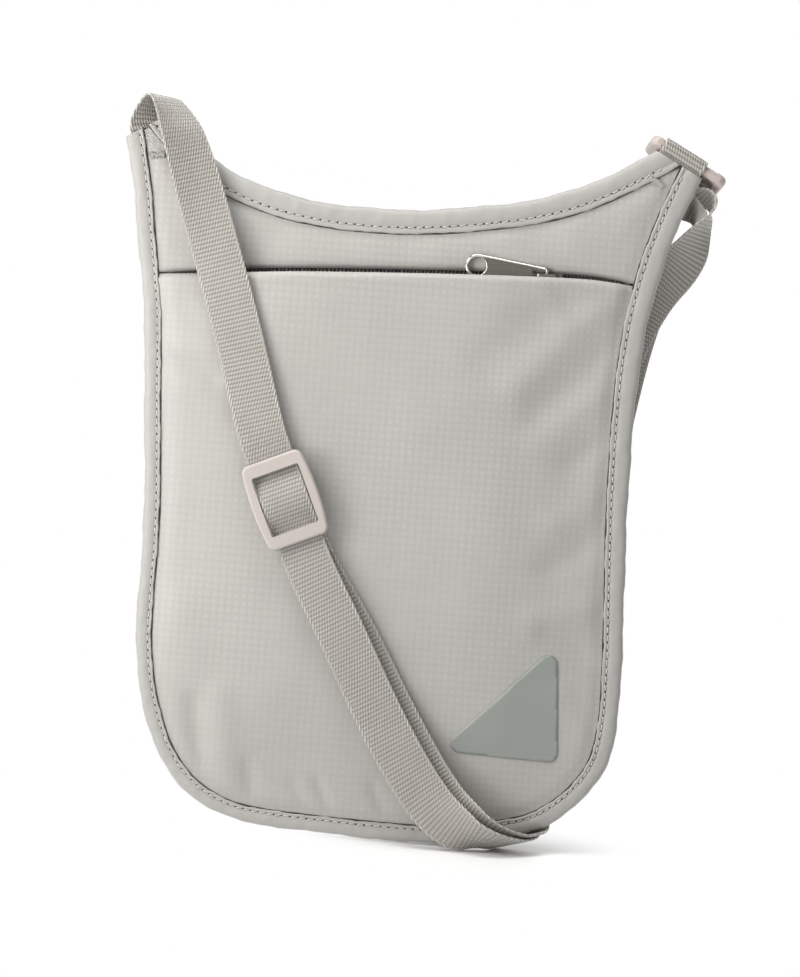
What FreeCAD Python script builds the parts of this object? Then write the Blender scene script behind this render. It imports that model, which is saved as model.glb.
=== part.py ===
"""Neck pouch wallet: a flat zipped fabric pouch on an adjustable webbing neck strap.

Millimetres, +Z up, the front of the pouch faces -Y and +X is to the wearer's left. The origin is on
the floor below the middle of the pouch.
"""
import FreeCAD
import Part

import math
import os

V = FreeCAD.Vector
BACKWARD = V(0, 1, 0)
TOUCHING = 1e-6

# ---------------------------------------------------------------- pouch outline (x, z)
SIDE_LINE = [
    (-94.2, 223.4), (-90.8, 208), (-88.0, 190), (-84.6, 168), (-82.9, 145), (-81.2, 122),
    (-79.8, 90), (-79.1, 54), (-75.5, 37.5), (-65.5, 17.2), (-48.4, 5.2), (-28, 1.9), (-5, 0.8),
    (18, 0.35), (32, 1.3), (44, 3.7), (56.2, 7.6), (68.2, 16.5), (75.4, 26), (79.1, 39),
    (79.8, 56), (78.2, 98), (77.5, 143), (79.0, 170), (82.4, 190), (86.6, 205), (93.5, 223.2),
]
NECK_LINE = [
    (-80.2, 231.9), (-71, 223.0), (-55.2, 213.4), (-39, 208.6), (-18, 206.4), (6, 207.2),
    (25, 209.9), (42, 213.6), (58, 219.8), (78.0, 231.4),
]
BINDING_W = 8.0
BINDING_T = 0.5
# From the middle of each corner's edge to the inner end of the seam between the bindings.
CORNER_SEAM = [(1.6, -2.8), (-1.4, -2.9)]

# ---------------------------------------------------------------- layers, as y from the pouch's middle
FRONT_FACE = -3.0
PANEL_T = 0.5
LINING_Y = (-0.6, -0.2)
TAPE_Y = (-0.2, 0.15)
BACK_LINING_Y = (1.25, 1.65)
BACK_PANEL_Y = (1.65, 2.15)
PATCH_T = 0.3
# The front lining ends this far below the zip's middle line, clear of the slider.
LINING_DROP = 5.0

# ---------------------------------------------------------------- zip
ZIP_MIDDLE_Z = 185.3
ZIP_TILT = 3.3
ZIP_LIP = 1.5
ZIP_ENDS = (-76.0, 71.0)
TAPE_W = 8.5
TAPE_GAP = 0.6
COIL_Y = (-1.5, -0.2)
COIL_Z = (0.55, 1.65)
COIL_R = 0.35
STOP_PROUD = 0.25
BOTTOM_STOP_L = 2.2
BOTTOM_STOP_W = 4.0
TOP_STOP_L = 1.8
TOP_STOP_Z = (0.5, 1.9)
SLIDER_X = 45.5
SLIDER_L = 10.4
SLIDER_W = 8.2
SLIDER_TOP_Y = (-2.35, -1.65)
SLIDER_BOTTOM_Y = (0.3, 1.0)
SLIDER_R = 1.2
WEDGE_L = 2.6
WEDGE_W = 0.84
FLANGE_Z = (2.25, 2.95)
FLANGE_L = 6.3
BAIL_HALF_L = 3.7
BAIL_WALL = 1.2
BAIL_W = 1.8
BAIL_R = 1.4
BAIL_TOP_Y = -6.2
PIVOT_Y = -4.4
PULLER_L = 26.8
PULLER_T = 1.2
PULLER_END_R = 3.9
PULLER_NECK_W = 5.6
PULLER_HOLE_R = 2.9
PULLER_WINDOW_END = -5.0
PULLER_WINDOW_W = 3.6
PULLER_SKEW = 8.0

# The middle of the pouch stands this far behind the origin, so that bail and back binding
# lie at equal distances from it.
BACK_FACE = BACK_PANEL_Y[1] + BINDING_T
MID_Y = -(BAIL_TOP_Y + BACK_FACE) / 2
# Larger than the pouch in any direction.
BEYOND = 300.0

# ---------------------------------------------------------------- patch corners (x, z)
PATCH = [(57.9, 69.0), (21.6, 31.5), (60.8, 30.0)]
PATCH_R = 3.0

# ---------------------------------------------------------------- webbing and its hardware
WEB_W = 15.5
WEB_T = 0.9
SEWN_DEPTH = 9.0
# The webbing lies in the middle of the room between the front panel and the back lining.
WEB_OFF_MIDDLE = -0.6
ADJUSTER_AT = V(-33.8, -10.0, 109.8)
ADJUSTER_TILT = 24.0
ADJUSTER_W = 19.8
# Each long side bows outward by this much at its middle.
ADJUSTER_BOW = 1.2
ADJUSTER_L = 28.8
ADJUSTER_Y = (-1.8, 1.0)
ADJUSTER_BAR = 4.4
ADJUSTER_SIDE = 1.85
ADJUSTER_R = 2.6
ADJUSTER_SOFT = 0.9
WINDOW_R = 0.8
CENTRE_BAR_L = 3.0
CENTRE_BAR_Y = (0.5, 2.3)
CENTRE_BAR_R = 0.6
RING_L = 28.0
RING_D = 12.8
RING_T = 3.4
RING_SIDE = 3.8
RING_R = 3.0
RING_SOFT = 1.1
RING_OFF = 2.9
RING_SHIFT = 2.0
RING_DROOP = 14.0


# ---------------------------------------------------------------- small helpers
def unit(v):
    return V(v).multiply(1.0 / v.Length)


def lerp(a, b, t):
    return a + (b - a) * t


def smooth_curve(points, y):
    """A smooth curve through (x, z) points, in the plane at y."""
    curve = Part.BSplineCurve()
    curve.interpolate([V(x, y, z) for x, z in points])
    return curve.toShape()


def polygon_edges(points, y):
    ends = zip(points, points[1:])
    return [Part.LineSegment(V(a[0], y, a[1]), V(b[0], y, b[1])).toShape() for a, b in ends]


def slab(face, y_range):
    """A flat face at y = 0, made into a layer of the pouch between two y values."""
    low, high = y_range
    solid = face.extrude(V(0, high - low, 0))
    solid.translate(V(0, MID_Y + low, 0))
    return solid


def box(x_range, y_range, z_range):
    low = V(x_range[0], y_range[0], z_range[0])
    size = [r[1] - r[0] for r in (x_range, y_range, z_range)]
    return Part.makeBox(size[0], size[1], size[2], low)


def rounded_rectangle(length, width, radius, middle_x=0.0):
    """A face in the XY plane, length along X."""
    x0, x1 = middle_x - length / 2, middle_x + length / 2
    y0, y1 = -width / 2, width / 2
    wire = Part.makePolygon([V(x0, y0, 0), V(x1, y0, 0), V(x1, y1, 0), V(x0, y1, 0), V(x0, y0, 0)])
    block = Part.Face(wire).extrude(V(0, 0, 1))
    upright = [e for e in block.Edges if abs(e.tangentAt(e.FirstParameter).z) > 0.99]
    block = block.makeFillet(radius, upright)
    return [f for f in block.Faces if abs(f.CenterOfMass.z) < TOUCHING][0]


def bowed_rectangle(length, width, bow, radius):
    """A face in the XY plane, length along X, its two long sides bowed outward."""
    x, y = length / 2, width / 2
    corners = [V(-x, -y, 0), V(x, -y, 0), V(x, y, 0), V(-x, y, 0)]
    edges = [
        Part.Arc(corners[0], V(0, -y - bow, 0), corners[1]).toShape(),
        Part.LineSegment(corners[1], corners[2]).toShape(),
        Part.Arc(corners[2], V(0, y + bow, 0), corners[3]).toShape(),
        Part.LineSegment(corners[3], corners[0]).toShape(),
    ]
    block = Part.Face(Part.Wire(edges)).extrude(V(0, 0, 1))
    upright = [e for e in block.Edges if e.BoundBox.ZLength > 0.99]
    block = block.makeFillet(radius, upright)
    return [f for f in block.Faces if abs(f.CenterOfMass.z) < TOUCHING][0]


def softened(solid, radius):
    """Rounds the edges that lie in the solid's two flat ends, across Z."""
    box_z = (solid.BoundBox.ZMin, solid.BoundBox.ZMax)
    rims = [
        e for e in solid.Edges
        if any(abs(e.BoundBox.ZMin - z) < TOUCHING and abs(e.BoundBox.ZMax - z) < TOUCHING for z in box_z)
    ]
    return solid.makeFillet(radius, rims)


def placed(solid, origin, x_axis, z_axis):
    """Moves a solid made about the origin so that its X and Z run along the given axes."""
    x_dir, z_dir = unit(x_axis), unit(z_axis)
    y_dir = z_dir.cross(x_dir)
    matrix = FreeCAD.Matrix(
        x_dir.x, y_dir.x, z_dir.x, origin.x,
        x_dir.y, y_dir.y, z_dir.y, origin.y,
        x_dir.z, y_dir.z, z_dir.z, origin.z,
        0, 0, 0, 1,
    )
    moved = solid.copy()
    moved.transformShape(matrix)
    return moved


def zip_placed(solid):
    """From the zip's own frame, X along the zip and y from the pouch's middle, into place."""
    moved = solid.copy()
    moved.rotate(V(0, 0, 0), V(0, 1, 0), -ZIP_TILT)
    moved.translate(V(0, MID_Y, ZIP_MIDDLE_Z))
    return moved


# ---------------------------------------------------------------- webbing as a ribbon
ARC_STEPS = 4


def ribbon_stations(route):
    """Centre, direction and width direction along a route, and the station in each run's middle.

    A route is a list of (point, width direction). Runs are straight and their corners are arcs
    that take 0.45 of the shorter run beside them.
    """
    points = [p for p, _ in route]
    widths = [w for _, w in route]
    runs = [(b - a).Length for a, b in zip(points, points[1:])]
    dirs = [unit(b - a) for a, b in zip(points, points[1:])]
    stations = [(points[0], dirs[0], widths[0])]
    middles = []
    for i, run in enumerate(runs):
        halfway = unit(widths[i] + widths[i + 1])
        middles.append(len(stations))
        stations.append((lerp(points[i], points[i + 1], 0.5), dirs[i], halfway))
        if i + 1 == len(runs):
            continue
        after = unit(widths[i + 1] + widths[i + 2])
        trim = 0.45 * min(run, runs[i + 1])
        turn = dirs[i].getAngle(dirs[i + 1])
        corner = points[i + 1]
        start = corner - dirs[i] * trim
        for step in range(ARC_STEPS + 1):
            t = step / ARC_STEPS
            angle = turn * t
            side = unit(dirs[i + 1] - dirs[i] * math.cos(turn))
            radius = trim / math.tan(turn / 2)
            along = dirs[i] * (radius * math.sin(angle))
            inward = side * (radius * (1 - math.cos(angle)))
            heading = dirs[i] * math.cos(angle) + side * math.sin(angle)
            width = lerp(halfway, widths[i + 1], 2 * t) if t < 0.5 else lerp(widths[i + 1], after, 2 * t - 1)
            stations.append((start + along + inward, unit(heading), unit(width)))
    stations.append((points[-1], dirs[-1], widths[-1]))
    return stations, middles


def section(station):
    """The webbing's rectangular section, square to its direction."""
    centre, heading, width = station
    across = unit(width - heading * width.dot(heading)) * (WEB_W / 2)
    through = unit(heading.cross(across)) * (WEB_T / 2)
    ring = [across + through, through - across, across * -1 - through, across - through]
    corners = [centre + c for c in ring]
    return Part.makePolygon(corners + corners[:1])


def ribbon(stations, name):
    solid = Part.makeLoft([section(s) for s in stations], True, True)
    length = sum((b[0] - a[0]).Length for a, b in zip(stations, stations[1:]))
    ratio = solid.Volume / (length * WEB_W * WEB_T)
    print(f"{name}: length {length:.1f} mm, volume over section times length {ratio:.3f}")
    return solid


# ---------------------------------------------------------------- the pouch
def pouch_face(inset=0.0):
    """The pouch's outline as a face at y = 0, with its sides and neckline drawn in by inset."""
    side = inset_points(SIDE_LINE, inset)
    neck = inset_points(NECK_LINE, -inset)
    edges = [smooth_curve(side, 0), smooth_curve(neck, 0)]
    edges += polygon_edges([side[0], neck[0]], 0)
    edges += polygon_edges([side[-1], neck[-1]], 0)
    return Part.Face(Part.Wire(Part.__sortEdges__(edges)))


def inset_points(line, distance):
    """The line's points moved square to it, to the right of its direction."""
    curve = Part.BSplineCurve()
    curve.interpolate([V(x, 0, z) for x, z in line])
    moved = []
    for x, z in line:
        at = curve.parameter(V(x, 0, z))
        tangent = unit(V(*curve.tangent(at)[0]))
        moved.append((x + tangent.z * -distance, z + tangent.x * distance))
    return moved


def binding_face(line, distance, corners):
    """A band along a line. corners are the points that close its left and right ends."""
    inner = inset_points(line, distance)
    left, right = corners
    inner[0], inner[-1] = left[1], right[1]
    edges = [smooth_curve(line, 0), smooth_curve(inner, 0)]
    edges += polygon_edges([line[0], left[0], left[1]], 0)
    edges += polygon_edges([line[-1], right[0], right[1]], 0)
    return Part.Face(Part.Wire(Part.__sortEdges__(edges)))


def corner_split(outer, inner, inward):
    """Where the side and neckline bindings meet at a corner: on its edge, and further in."""
    middle = ((outer[0] + inner[0]) / 2, (outer[1] + inner[1]) / 2)
    return [middle, (middle[0] + inward[0], middle[1] + inward[1])]


def corner_mouth(outer, inner):
    """The open end of the pouch's corner, where webbing comes out between its layers."""
    along = V(inner[0] - outer[0], 0, inner[1] - outer[1])
    middle = V((outer[0] + inner[0]) / 2, MID_Y, (outer[1] + inner[1]) / 2)
    half = along.Length / 2 - BINDING_T
    depth = 2.0
    mouth = box((-half, half), (-depth, depth), (FRONT_FACE, BACK_PANEL_Y[1]))
    return placed(mouth, middle, along, BACKWARD)


def bindings():
    left = corner_split(SIDE_LINE[0], NECK_LINE[0], CORNER_SEAM[0])
    right = corner_split(SIDE_LINE[-1], NECK_LINE[-1], CORNER_SEAM[1])
    whole = (FRONT_FACE - BINDING_T, BACK_FACE)
    held = slab(pouch_face(BINDING_T), (FRONT_FACE, BACK_PANEL_Y[1]))
    held = held.fuse(corner_mouth(SIDE_LINE[0], NECK_LINE[0]))
    held = held.fuse(corner_mouth(SIDE_LINE[-1], NECK_LINE[-1]))
    side = slab(binding_face(SIDE_LINE, BINDING_W, (left, right)), whole).cut(held)
    neck = slab(binding_face(NECK_LINE, -BINDING_W, (left, right)), whole).cut(held)
    return {"side_binding": side, "neckline_binding": neck}


def above_zip(offset):
    """A large block whose lower side runs along the zip, offset above its middle line."""
    return zip_placed(box((-BEYOND, BEYOND), (-BEYOND, BEYOND), (offset, BEYOND)))


def below_zip(offset):
    return zip_placed(box((-BEYOND, BEYOND), (-BEYOND, BEYOND), (-BEYOND, offset)))


def panels():
    cloth = pouch_face(BINDING_T)
    front = slab(cloth, (FRONT_FACE, FRONT_FACE + PANEL_T))
    return {
        "front_panel_lower": front.common(below_zip(-ZIP_LIP)),
        "front_panel_upper": front.common(above_zip(ZIP_LIP)),
        "front_lining": slab(cloth, LINING_Y).common(below_zip(-LINING_DROP)),
        "back_lining": slab(cloth, BACK_LINING_Y),
        "back_panel": slab(cloth, BACK_PANEL_Y),
    }


def triangular_patch():
    wire = Part.makePolygon([V(x, 0, z) for x, z in PATCH + PATCH[:1]])
    block = Part.Face(wire).extrude(V(0, PATCH_T, 0))
    across = [e for e in block.Edges if abs(e.tangentAt(e.FirstParameter).y) > 0.99]
    block = block.makeFillet(PATCH_R, across)
    block.translate(V(0, MID_Y + FRONT_FACE - PATCH_T, 0))
    return {"triangular_patch": block}


# ---------------------------------------------------------------- the zip
def zip_tapes_and_coils():
    room = slab(pouch_face(BINDING_T), (FRONT_FACE, BACK_FACE))
    made = {}
    for side, sign in (("upper", 1), ("lower", -1)):
        tape_z = sorted([sign * TAPE_GAP, sign * TAPE_W])
        coil_z = sorted([sign * COIL_Z[0], sign * COIL_Z[1]])
        tape = zip_placed(box((-BEYOND, BEYOND), TAPE_Y, tape_z)).common(room)
        coil = box(ZIP_ENDS, COIL_Y, coil_z)
        long_edges = [e for e in coil.Edges if abs(e.tangentAt(e.FirstParameter).x) > 0.99]
        coil = coil.makeFillet(COIL_R, [e for e in long_edges if e.CenterOfMass.y < -1])
        made[f"zipper_tape_{side}"] = tape
        made[f"zipper_coil_{side}"] = zip_placed(coil)
    return made


def zip_stops():
    """A box clamped over both coils at the left end, and a clip on each coil at the right."""
    height = (COIL_Y[0] - STOP_PROUD, TAPE_Y[0])
    half = BOTTOM_STOP_W / 2
    left = box((ZIP_ENDS[0] - BOTTOM_STOP_L, ZIP_ENDS[0]), height, (-half, half))
    low, high = TOP_STOP_Z
    clips = [box((ZIP_ENDS[1], ZIP_ENDS[1] + TOP_STOP_L), height, z) for z in ((low, high), (-high, -low))]
    return {
        "zipper_bottom_stop": zip_placed(left),
        "zipper_top_stops": zip_placed(Part.makeCompound(clips)),
    }


def slider_plate(y_range):
    """A shield-shaped plate, wide and round in front and narrower at the back."""
    half_l, half_w = SLIDER_L / 2, SLIDER_W / 2
    outline = [
        (-half_l, -half_w * 0.74), (half_l * 0.35, -half_w), (half_l, -half_w * 0.62),
        (half_l, half_w * 0.62), (half_l * 0.35, half_w), (-half_l, half_w * 0.74),
    ]
    wire = Part.makePolygon([V(x, y_range[0], z) for x, z in outline + outline[:1]])
    plate = Part.Face(wire).extrude(V(0, y_range[1] - y_range[0], 0))
    across = [e for e in plate.Edges if abs(e.tangentAt(e.FirstParameter).y) > 0.99]
    return plate.makeFillet(SLIDER_R, across)


def slider_body():
    """Two plates joined by a wedge between the coils, with side flanges and a bail on top."""
    half_l = SLIDER_L / 2
    bite = 0.1
    under_top = SLIDER_TOP_Y[1] - bite
    body = slider_plate(SLIDER_TOP_Y).fuse(slider_plate(SLIDER_BOTTOM_Y))
    wedge_x = (half_l - 0.6 - WEDGE_L, half_l - 0.6)
    wedge = box(wedge_x, (under_top, SLIDER_BOTTOM_Y[0] + bite), (-WEDGE_W / 2, WEDGE_W / 2))
    body = body.fuse(wedge)
    flange_x = (0.5 - half_l, 0.5 - half_l + FLANGE_L)
    for flange_z in (FLANGE_Z, (-FLANGE_Z[1], -FLANGE_Z[0])):
        body = body.fuse(box(flange_x, (under_top, TAPE_Y[0] - 0.15), flange_z))
    bail_z = (-BAIL_W / 2, BAIL_W / 2)
    bail = box((-BAIL_HALF_L, BAIL_HALF_L), (BAIL_TOP_Y, SLIDER_TOP_Y[0] + bite), bail_z)
    shoulders = [
        e for e in bail.Edges
        if abs(e.tangentAt(e.FirstParameter).z) > 0.99 and e.CenterOfMass.y < BAIL_TOP_Y + bite
    ]
    bail = bail.makeFillet(BAIL_R, shoulders)
    hollow_half = BAIL_HALF_L - BAIL_WALL
    hollow = box((-hollow_half, hollow_half), (BAIL_TOP_Y + 1.1, SLIDER_TOP_Y[0]), (-BAIL_W, BAIL_W))
    body = body.fuse(bail.cut(hollow)).removeSplitter()
    body.translate(V(slider_offset(), 0, 0))
    return zip_placed(body)


def slider_offset():
    """Where the slider's middle is along the zip's own X axis."""
    return SLIDER_X / math.cos(math.radians(ZIP_TILT))


def puller():
    """A tapered plate with a round eye, whose forked narrow end holds a round pin under the bail."""
    eye_x = -PULLER_L + PULLER_END_R
    half_neck = PULLER_NECK_W / 2
    half_t = PULLER_T / 2
    through = 4 * PULLER_T
    disc = Part.makeCylinder(PULLER_END_R, PULLER_T, V(eye_x, -half_t, 0), BACKWARD)
    taper = [(eye_x, PULLER_END_R), (0, half_neck), (0, -half_neck), (eye_x, -PULLER_END_R)]
    wire = Part.makePolygon([V(x, -half_t, z) for x, z in taper + taper[:1]])
    plate = Part.Face(wire).extrude(V(0, PULLER_T, 0)).fuse(disc).removeSplitter()
    eye = Part.makeCylinder(PULLER_HOLE_R, 2 * through, V(eye_x, -through, 0), BACKWARD)
    slot = box((PULLER_WINDOW_END, half_t), (-through, through), (-PULLER_WINDOW_W / 2, PULLER_WINDOW_W / 2))
    pin = Part.makeCylinder(half_t, PULLER_NECK_W, V(0, 0, -half_neck), V(0, 0, 1))
    plate = plate.cut(eye).cut(slot).fuse(pin).removeSplitter()
    plate.rotate(V(0, 0, 0), BACKWARD, PULLER_SKEW)
    plate.translate(V(slider_offset(), PIVOT_Y, 0))
    return zip_placed(plate)


# ---------------------------------------------------------------- strap hardware
ALONG = V(math.sin(math.radians(ADJUSTER_TILT)), 0, -math.cos(math.radians(ADJUSTER_TILT)))
ACROSS = V(math.cos(math.radians(ADJUSTER_TILT)), 0, math.sin(math.radians(ADJUSTER_TILT)))


def at_adjuster(u, y, w=0.0):
    """A point given along the strap, backward and across, from the adjuster's middle."""
    return ADJUSTER_AT + ALONG * u + BACKWARD * y + ACROSS * w


def adjuster():
    """A frame with bowed sides and a bar across its middle, set further back than the frame."""
    outer = bowed_rectangle(ADJUSTER_L, ADJUSTER_W, ADJUSTER_BOW, ADJUSTER_R)
    window_w = ADJUSTER_W - 2 * ADJUSTER_SIDE
    inner = rounded_rectangle(ADJUSTER_L - 2 * ADJUSTER_BAR, window_w, WINDOW_R)
    thickness = V(0, 0, ADJUSTER_Y[1] - ADJUSTER_Y[0])
    frame = softened(outer.extrude(thickness), ADJUSTER_SOFT).cut(inner.extrude(thickness))
    frame.translate(V(0, 0, ADJUSTER_Y[0]))
    half_bar = window_w / 2 + 0.5
    bar = box((-CENTRE_BAR_L / 2, CENTRE_BAR_L / 2), (-half_bar, half_bar), CENTRE_BAR_Y)
    lengthwise = [e for e in bar.Edges if abs(e.tangentAt(e.FirstParameter).y) > 0.99]
    bar = bar.makeFillet(CENTRE_BAR_R, lengthwise)
    return placed(frame.fuse(bar), ADJUSTER_AT, ALONG, BACKWARD)


CORNER_OUT = V(SIDE_LINE[-1][0], 0, SIDE_LINE[-1][1])
CORNER_IN = V(NECK_LINE[-1][0], 0, NECK_LINE[-1][1])
RING_ALONG = unit(CORNER_OUT - CORNER_IN)
RING_UP = V(-RING_ALONG.z, 0, RING_ALONG.x)
RIGHT_MIDDLE = (CORNER_OUT + CORNER_IN) * 0.5 + BACKWARD * (MID_Y + WEB_OFF_MIDDLE)
RING_AT = RIGHT_MIDDLE + RING_UP * RING_OFF + RING_ALONG * RING_SHIFT
DROOP = math.radians(RING_DROOP)
RING_BACK = BACKWARD * math.cos(DROOP) - RING_UP * math.sin(DROOP)
RING_REACH = RING_D - RING_T


def ring():
    """A rectangular loop of bar, its round near bar in the keeper and its far bar in the strap."""
    outer = rounded_rectangle(RING_L, RING_D, RING_R)
    half_window = RING_L / 2 - RING_SIDE
    inner = rounded_rectangle(2 * half_window, RING_D - 2 * RING_T, WINDOW_R)
    thickness = V(0, 0, RING_T)
    loop = outer.extrude(thickness).cut(inner.extrude(thickness))
    loop = softened(loop, RING_SOFT)
    loop.translate(V(0, RING_REACH / 2, -RING_T / 2))
    square_bar = box((-half_window, half_window), (-RING_T, RING_T), (-RING_T, RING_T))
    half_bar = half_window + RING_T / 2
    round_bar = Part.makeCylinder(RING_T / 2, 2 * half_bar, V(-half_bar, 0, 0), V(1, 0, 0))
    loop = loop.cut(square_bar).fuse(round_bar).removeSplitter()
    return placed(loop, RING_AT, RING_ALONG, RING_ALONG.cross(RING_BACK))


def at_corner(out, y):
    """A point given outward from the right corner's edge and backward from its middle."""
    return RIGHT_MIDDLE + RING_UP * out + BACKWARD * y


def keeper():
    """A short loop of webbing, sewn into the right corner round the ring's near bar."""
    around = RING_T / 2 + 0.8
    top = RING_OFF + around
    path = [
        (-SEWN_DEPTH, -0.6), (0.2, -0.75), (1.9, -around), (top, -around), (top, around),
        (1.9, around), (0.2, 0.75), (-SEWN_DEPTH, 0.6),
    ]
    stations, _ = ribbon_stations([(at_corner(out, y), RING_ALONG) for out, y in path])
    return ribbon(stations, "ring_keeper")


# ---------------------------------------------------------------- strap route
LEFT_OUT = V(SIDE_LINE[0][0], 0, SIDE_LINE[0][1])
LEFT_IN = V(NECK_LINE[0][0], 0, NECK_LINE[0][1])
LEFT_ALONG = unit(LEFT_IN - LEFT_OUT)
LEFT_UP = V(-LEFT_ALONG.z, 0, LEFT_ALONG.x)
LEFT_MIDDLE = (LEFT_OUT + LEFT_IN) * 0.5 + BACKWARD * (MID_Y + WEB_OFF_MIDDLE)


def at_far_bar(back, up):
    """A point beside the ring's far bar, where the strap is pushed to the bar's outer end."""
    bar_middle = RING_AT + RING_BACK * RING_REACH
    return bar_middle + RING_ALONG * RING_SHIFT + BACKWARD * back + RING_UP * up


# From the left corner to the adjuster.
FROM_CORNER = [
    (LEFT_MIDDLE - LEFT_UP * SEWN_DEPTH, LEFT_ALONG),
    (LEFT_MIDDLE + LEFT_UP * 2.5, LEFT_ALONG),
    (V(-88.5, -0.5, 234.0), V(0.55, 0.70, 0.40)),
    (V(-83.0, -4.0, 237.6), V(0.10, 0.99, 0.10)),
    (V(-76.8, -7.5, 232.5), V(0.75, 0.55, 0.38)),
    (V(-72.0, -9.6, 218.0), V(0.93, 0.10, 0.36)),
    (V(-63.8, -9.8, 194.0), V(0.94, 0.0, 0.33)),
    (V(-52.6, -9.0, 162.0), V(0.945, 0.0, 0.33)),
    (at_adjuster(-24, 1.2), ACROSS),
]
# Behind the adjuster's top bar, over the looped webbing on its centre bar, behind its lower bar.
IN_ADJUSTER = [
    (at_adjuster(-14, 1.65), ACROSS),
    (at_adjuster(-8.8, 1.5), ACROSS),
    (at_adjuster(-3.2, -1.15), ACROSS),
    (at_adjuster(3.2, -1.15), ACROSS),
    (at_adjuster(8.8, 1.5), ACROSS),
    (at_adjuster(14, 1.65), ACROSS),
]
# Down the front, on to the floor, under the pouch's rounded corner and up behind it.
OUTER_LAYER = [
    (at_adjuster(24, 0.9), ACROSS),
    (V(-12.5, -9.6, 68.0), V(0.90, 0.0, 0.44)),
    (V(3.0, -9.8, 39.0), V(0.86, 0.0, 0.50)),
    (V(18.7, -11.6, 15.6), V(0.76, 0.0, 0.65)),
    (V(29.5, -13.4, 7.0), V(0.72, -0.35, 0.58)),
    (V(38.5, -12.2, 4.8), V(0.70, -0.60, 0.30)),
    (V(45.5, -7.5, 3.0), V(0.85, -0.45, 0.28)),
    (V(49.3, -0.5, 2.9), V(0.94, -0.12, 0.31)),
    (V(50.0, 6.5, 3.4), V(0.95, 0.0, 0.30)),
    (V(50.8, 13.2, 9.5), V(0.97, 0.0, 0.20)),
    (V(54.0, 16.0, 30.0), V(0.98, 0.0, -0.05)),
    (V(58.5, 18.0, 60.0), V(0.98, 0.05, -0.12)),
    (V(64.0, 20.0, 92.0), V(0.97, 0.10, -0.16)),
    (V(68.8, 21.5, 124.0), V(0.96, 0.12, -0.18)),
    (V(73.0, 23.0, 152.0), V(0.95, 0.16, -0.18)),
    (V(77.2, 24.5, 173.0), V(0.92, 0.22, -0.25)),
    (V(84.0, 25.5, 192.0), V(0.80, 0.55, -0.25)),
    (V(91.0, 24.0, 203.0), V(0.55, 0.82, -0.15)),
    (V(94.8, 22.5, 213.0), V(0.55, 0.80, -0.25)),
]
# Round the ring's far bar.
ROUND_RING = [
    (at_far_bar(2.5, -4.5), RING_ALONG),
    (at_far_bar(2.5, 2.5), RING_ALONG),
    (at_far_bar(-2.5, 2.5), RING_ALONG),
    (at_far_bar(-2.5, -3.5), RING_ALONG),
]
# Back along the first layer, inside it, to the adjuster. It makes half a turn below the ring.
INNER_LAYER = [
    (V(93.2, 9.8, 216.6), V(0.84, -0.45, -0.30)),
    (V(95.6, 8.0, 209.8), V(-0.05, -1.0, 0.05)),
    (V(94.0, 9.8, 204.0), V(-0.72, -0.62, 0.25)),
    (V(88.5, 12.5, 195.0), V(-0.80, -0.25, 0.55)),
    (V(80.0, 13.5, 183.5), V(-0.78, -0.20, 0.58)),
    (V(69.5, 13.2, 158.0), V(-0.93, -0.10, 0.30)),
    (V(63.5, 12.5, 124.0), V(-0.97, -0.10, 0.20)),
    (V(58.6, 12.0, 88.0), V(-0.98, 0.0, 0.15)),
    (V(55.5, 11.2, 54.0), V(-0.99, 0.0, 0.08)),
    (V(53.4, 10.4, 27.0), V(-0.99, 0.0, -0.05)),
    (V(52.8, 9.2, 10.8), V(-0.97, 0.0, -0.20)),
    (V(52.4, 5.4, 5.15), V(-0.95, 0.0, -0.30)),
    (V(51.7, -0.8, 4.75), V(-0.94, 0.12, -0.31)),
    (V(46.8, -6.6, 4.5), V(-0.85, 0.45, -0.28)),
    (V(39.8, -10.2, 6.3), V(-0.70, 0.60, -0.36)),
    (V(31.5, -11.2, 9.6), V(-0.74, 0.32, -0.58)),
    (V(22.5, -8.8, 17.0), V(-0.77, 0.0, -0.64)),
    (V(7.6, -6.6, 39.2), V(-0.86, 0.0, -0.50)),
    (V(-9.0, -6.2, 68.2), V(-0.90, 0.0, -0.44)),
]
# Behind the adjuster, round its centre bar, and down again to the sewn end.
ROUND_BAR = [
    (at_adjuster(26, 3.95, 1.6), ACROSS * -1),
    (at_adjuster(9, 3.7), ACROSS * -1),
    (at_adjuster(2.5, 2.95), ACROSS * -1),
    (at_adjuster(-2.65, 2.95), ACROSS * -1),
    (at_adjuster(-2.65, -0.12), ACROSS * -1),
    (at_adjuster(3.4, 0.0), ACROSS * -1),
    (at_adjuster(9.2, 2.72), ACROSS * -1),
    (at_adjuster(22, 2.9, 1.3), ACROSS * -1),
]


def strap():
    """One length of webbing, made in stretches that meet in the middle of a straight run."""
    parts = [FROM_CORNER, IN_ADJUSTER, OUTER_LAYER, ROUND_RING, INNER_LAYER, ROUND_BAR]
    route = [step for part in parts for step in part]
    stations, middles = ribbon_stations(route)
    first = [sum(len(p) for p in parts[:n]) for n in range(len(parts))]
    behind = first[2] + 10
    below = first[4] + 9
    cuts = {
        "strap_upper": (None, first[1] - 1),
        "strap_over_bar": (first[1] - 1, first[2] - 1),
        "strap_front": (first[2] - 1, behind),
        "strap_back": (behind, first[3] - 1),
        "strap_round_ring": (first[3] - 1, first[4] - 1),
        "return_back": (first[4] - 1, below),
        "return_front": (below, first[5] - 1),
        "strap_sewn_end": (first[5] - 1, None),
    }
    made = {}
    for name, (start, end) in cuts.items():
        low = 0 if start is None else middles[start]
        high = len(stations) if end is None else middles[end] + 1
        made[name] = ribbon(stations[low:high], name)
    return made


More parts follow.
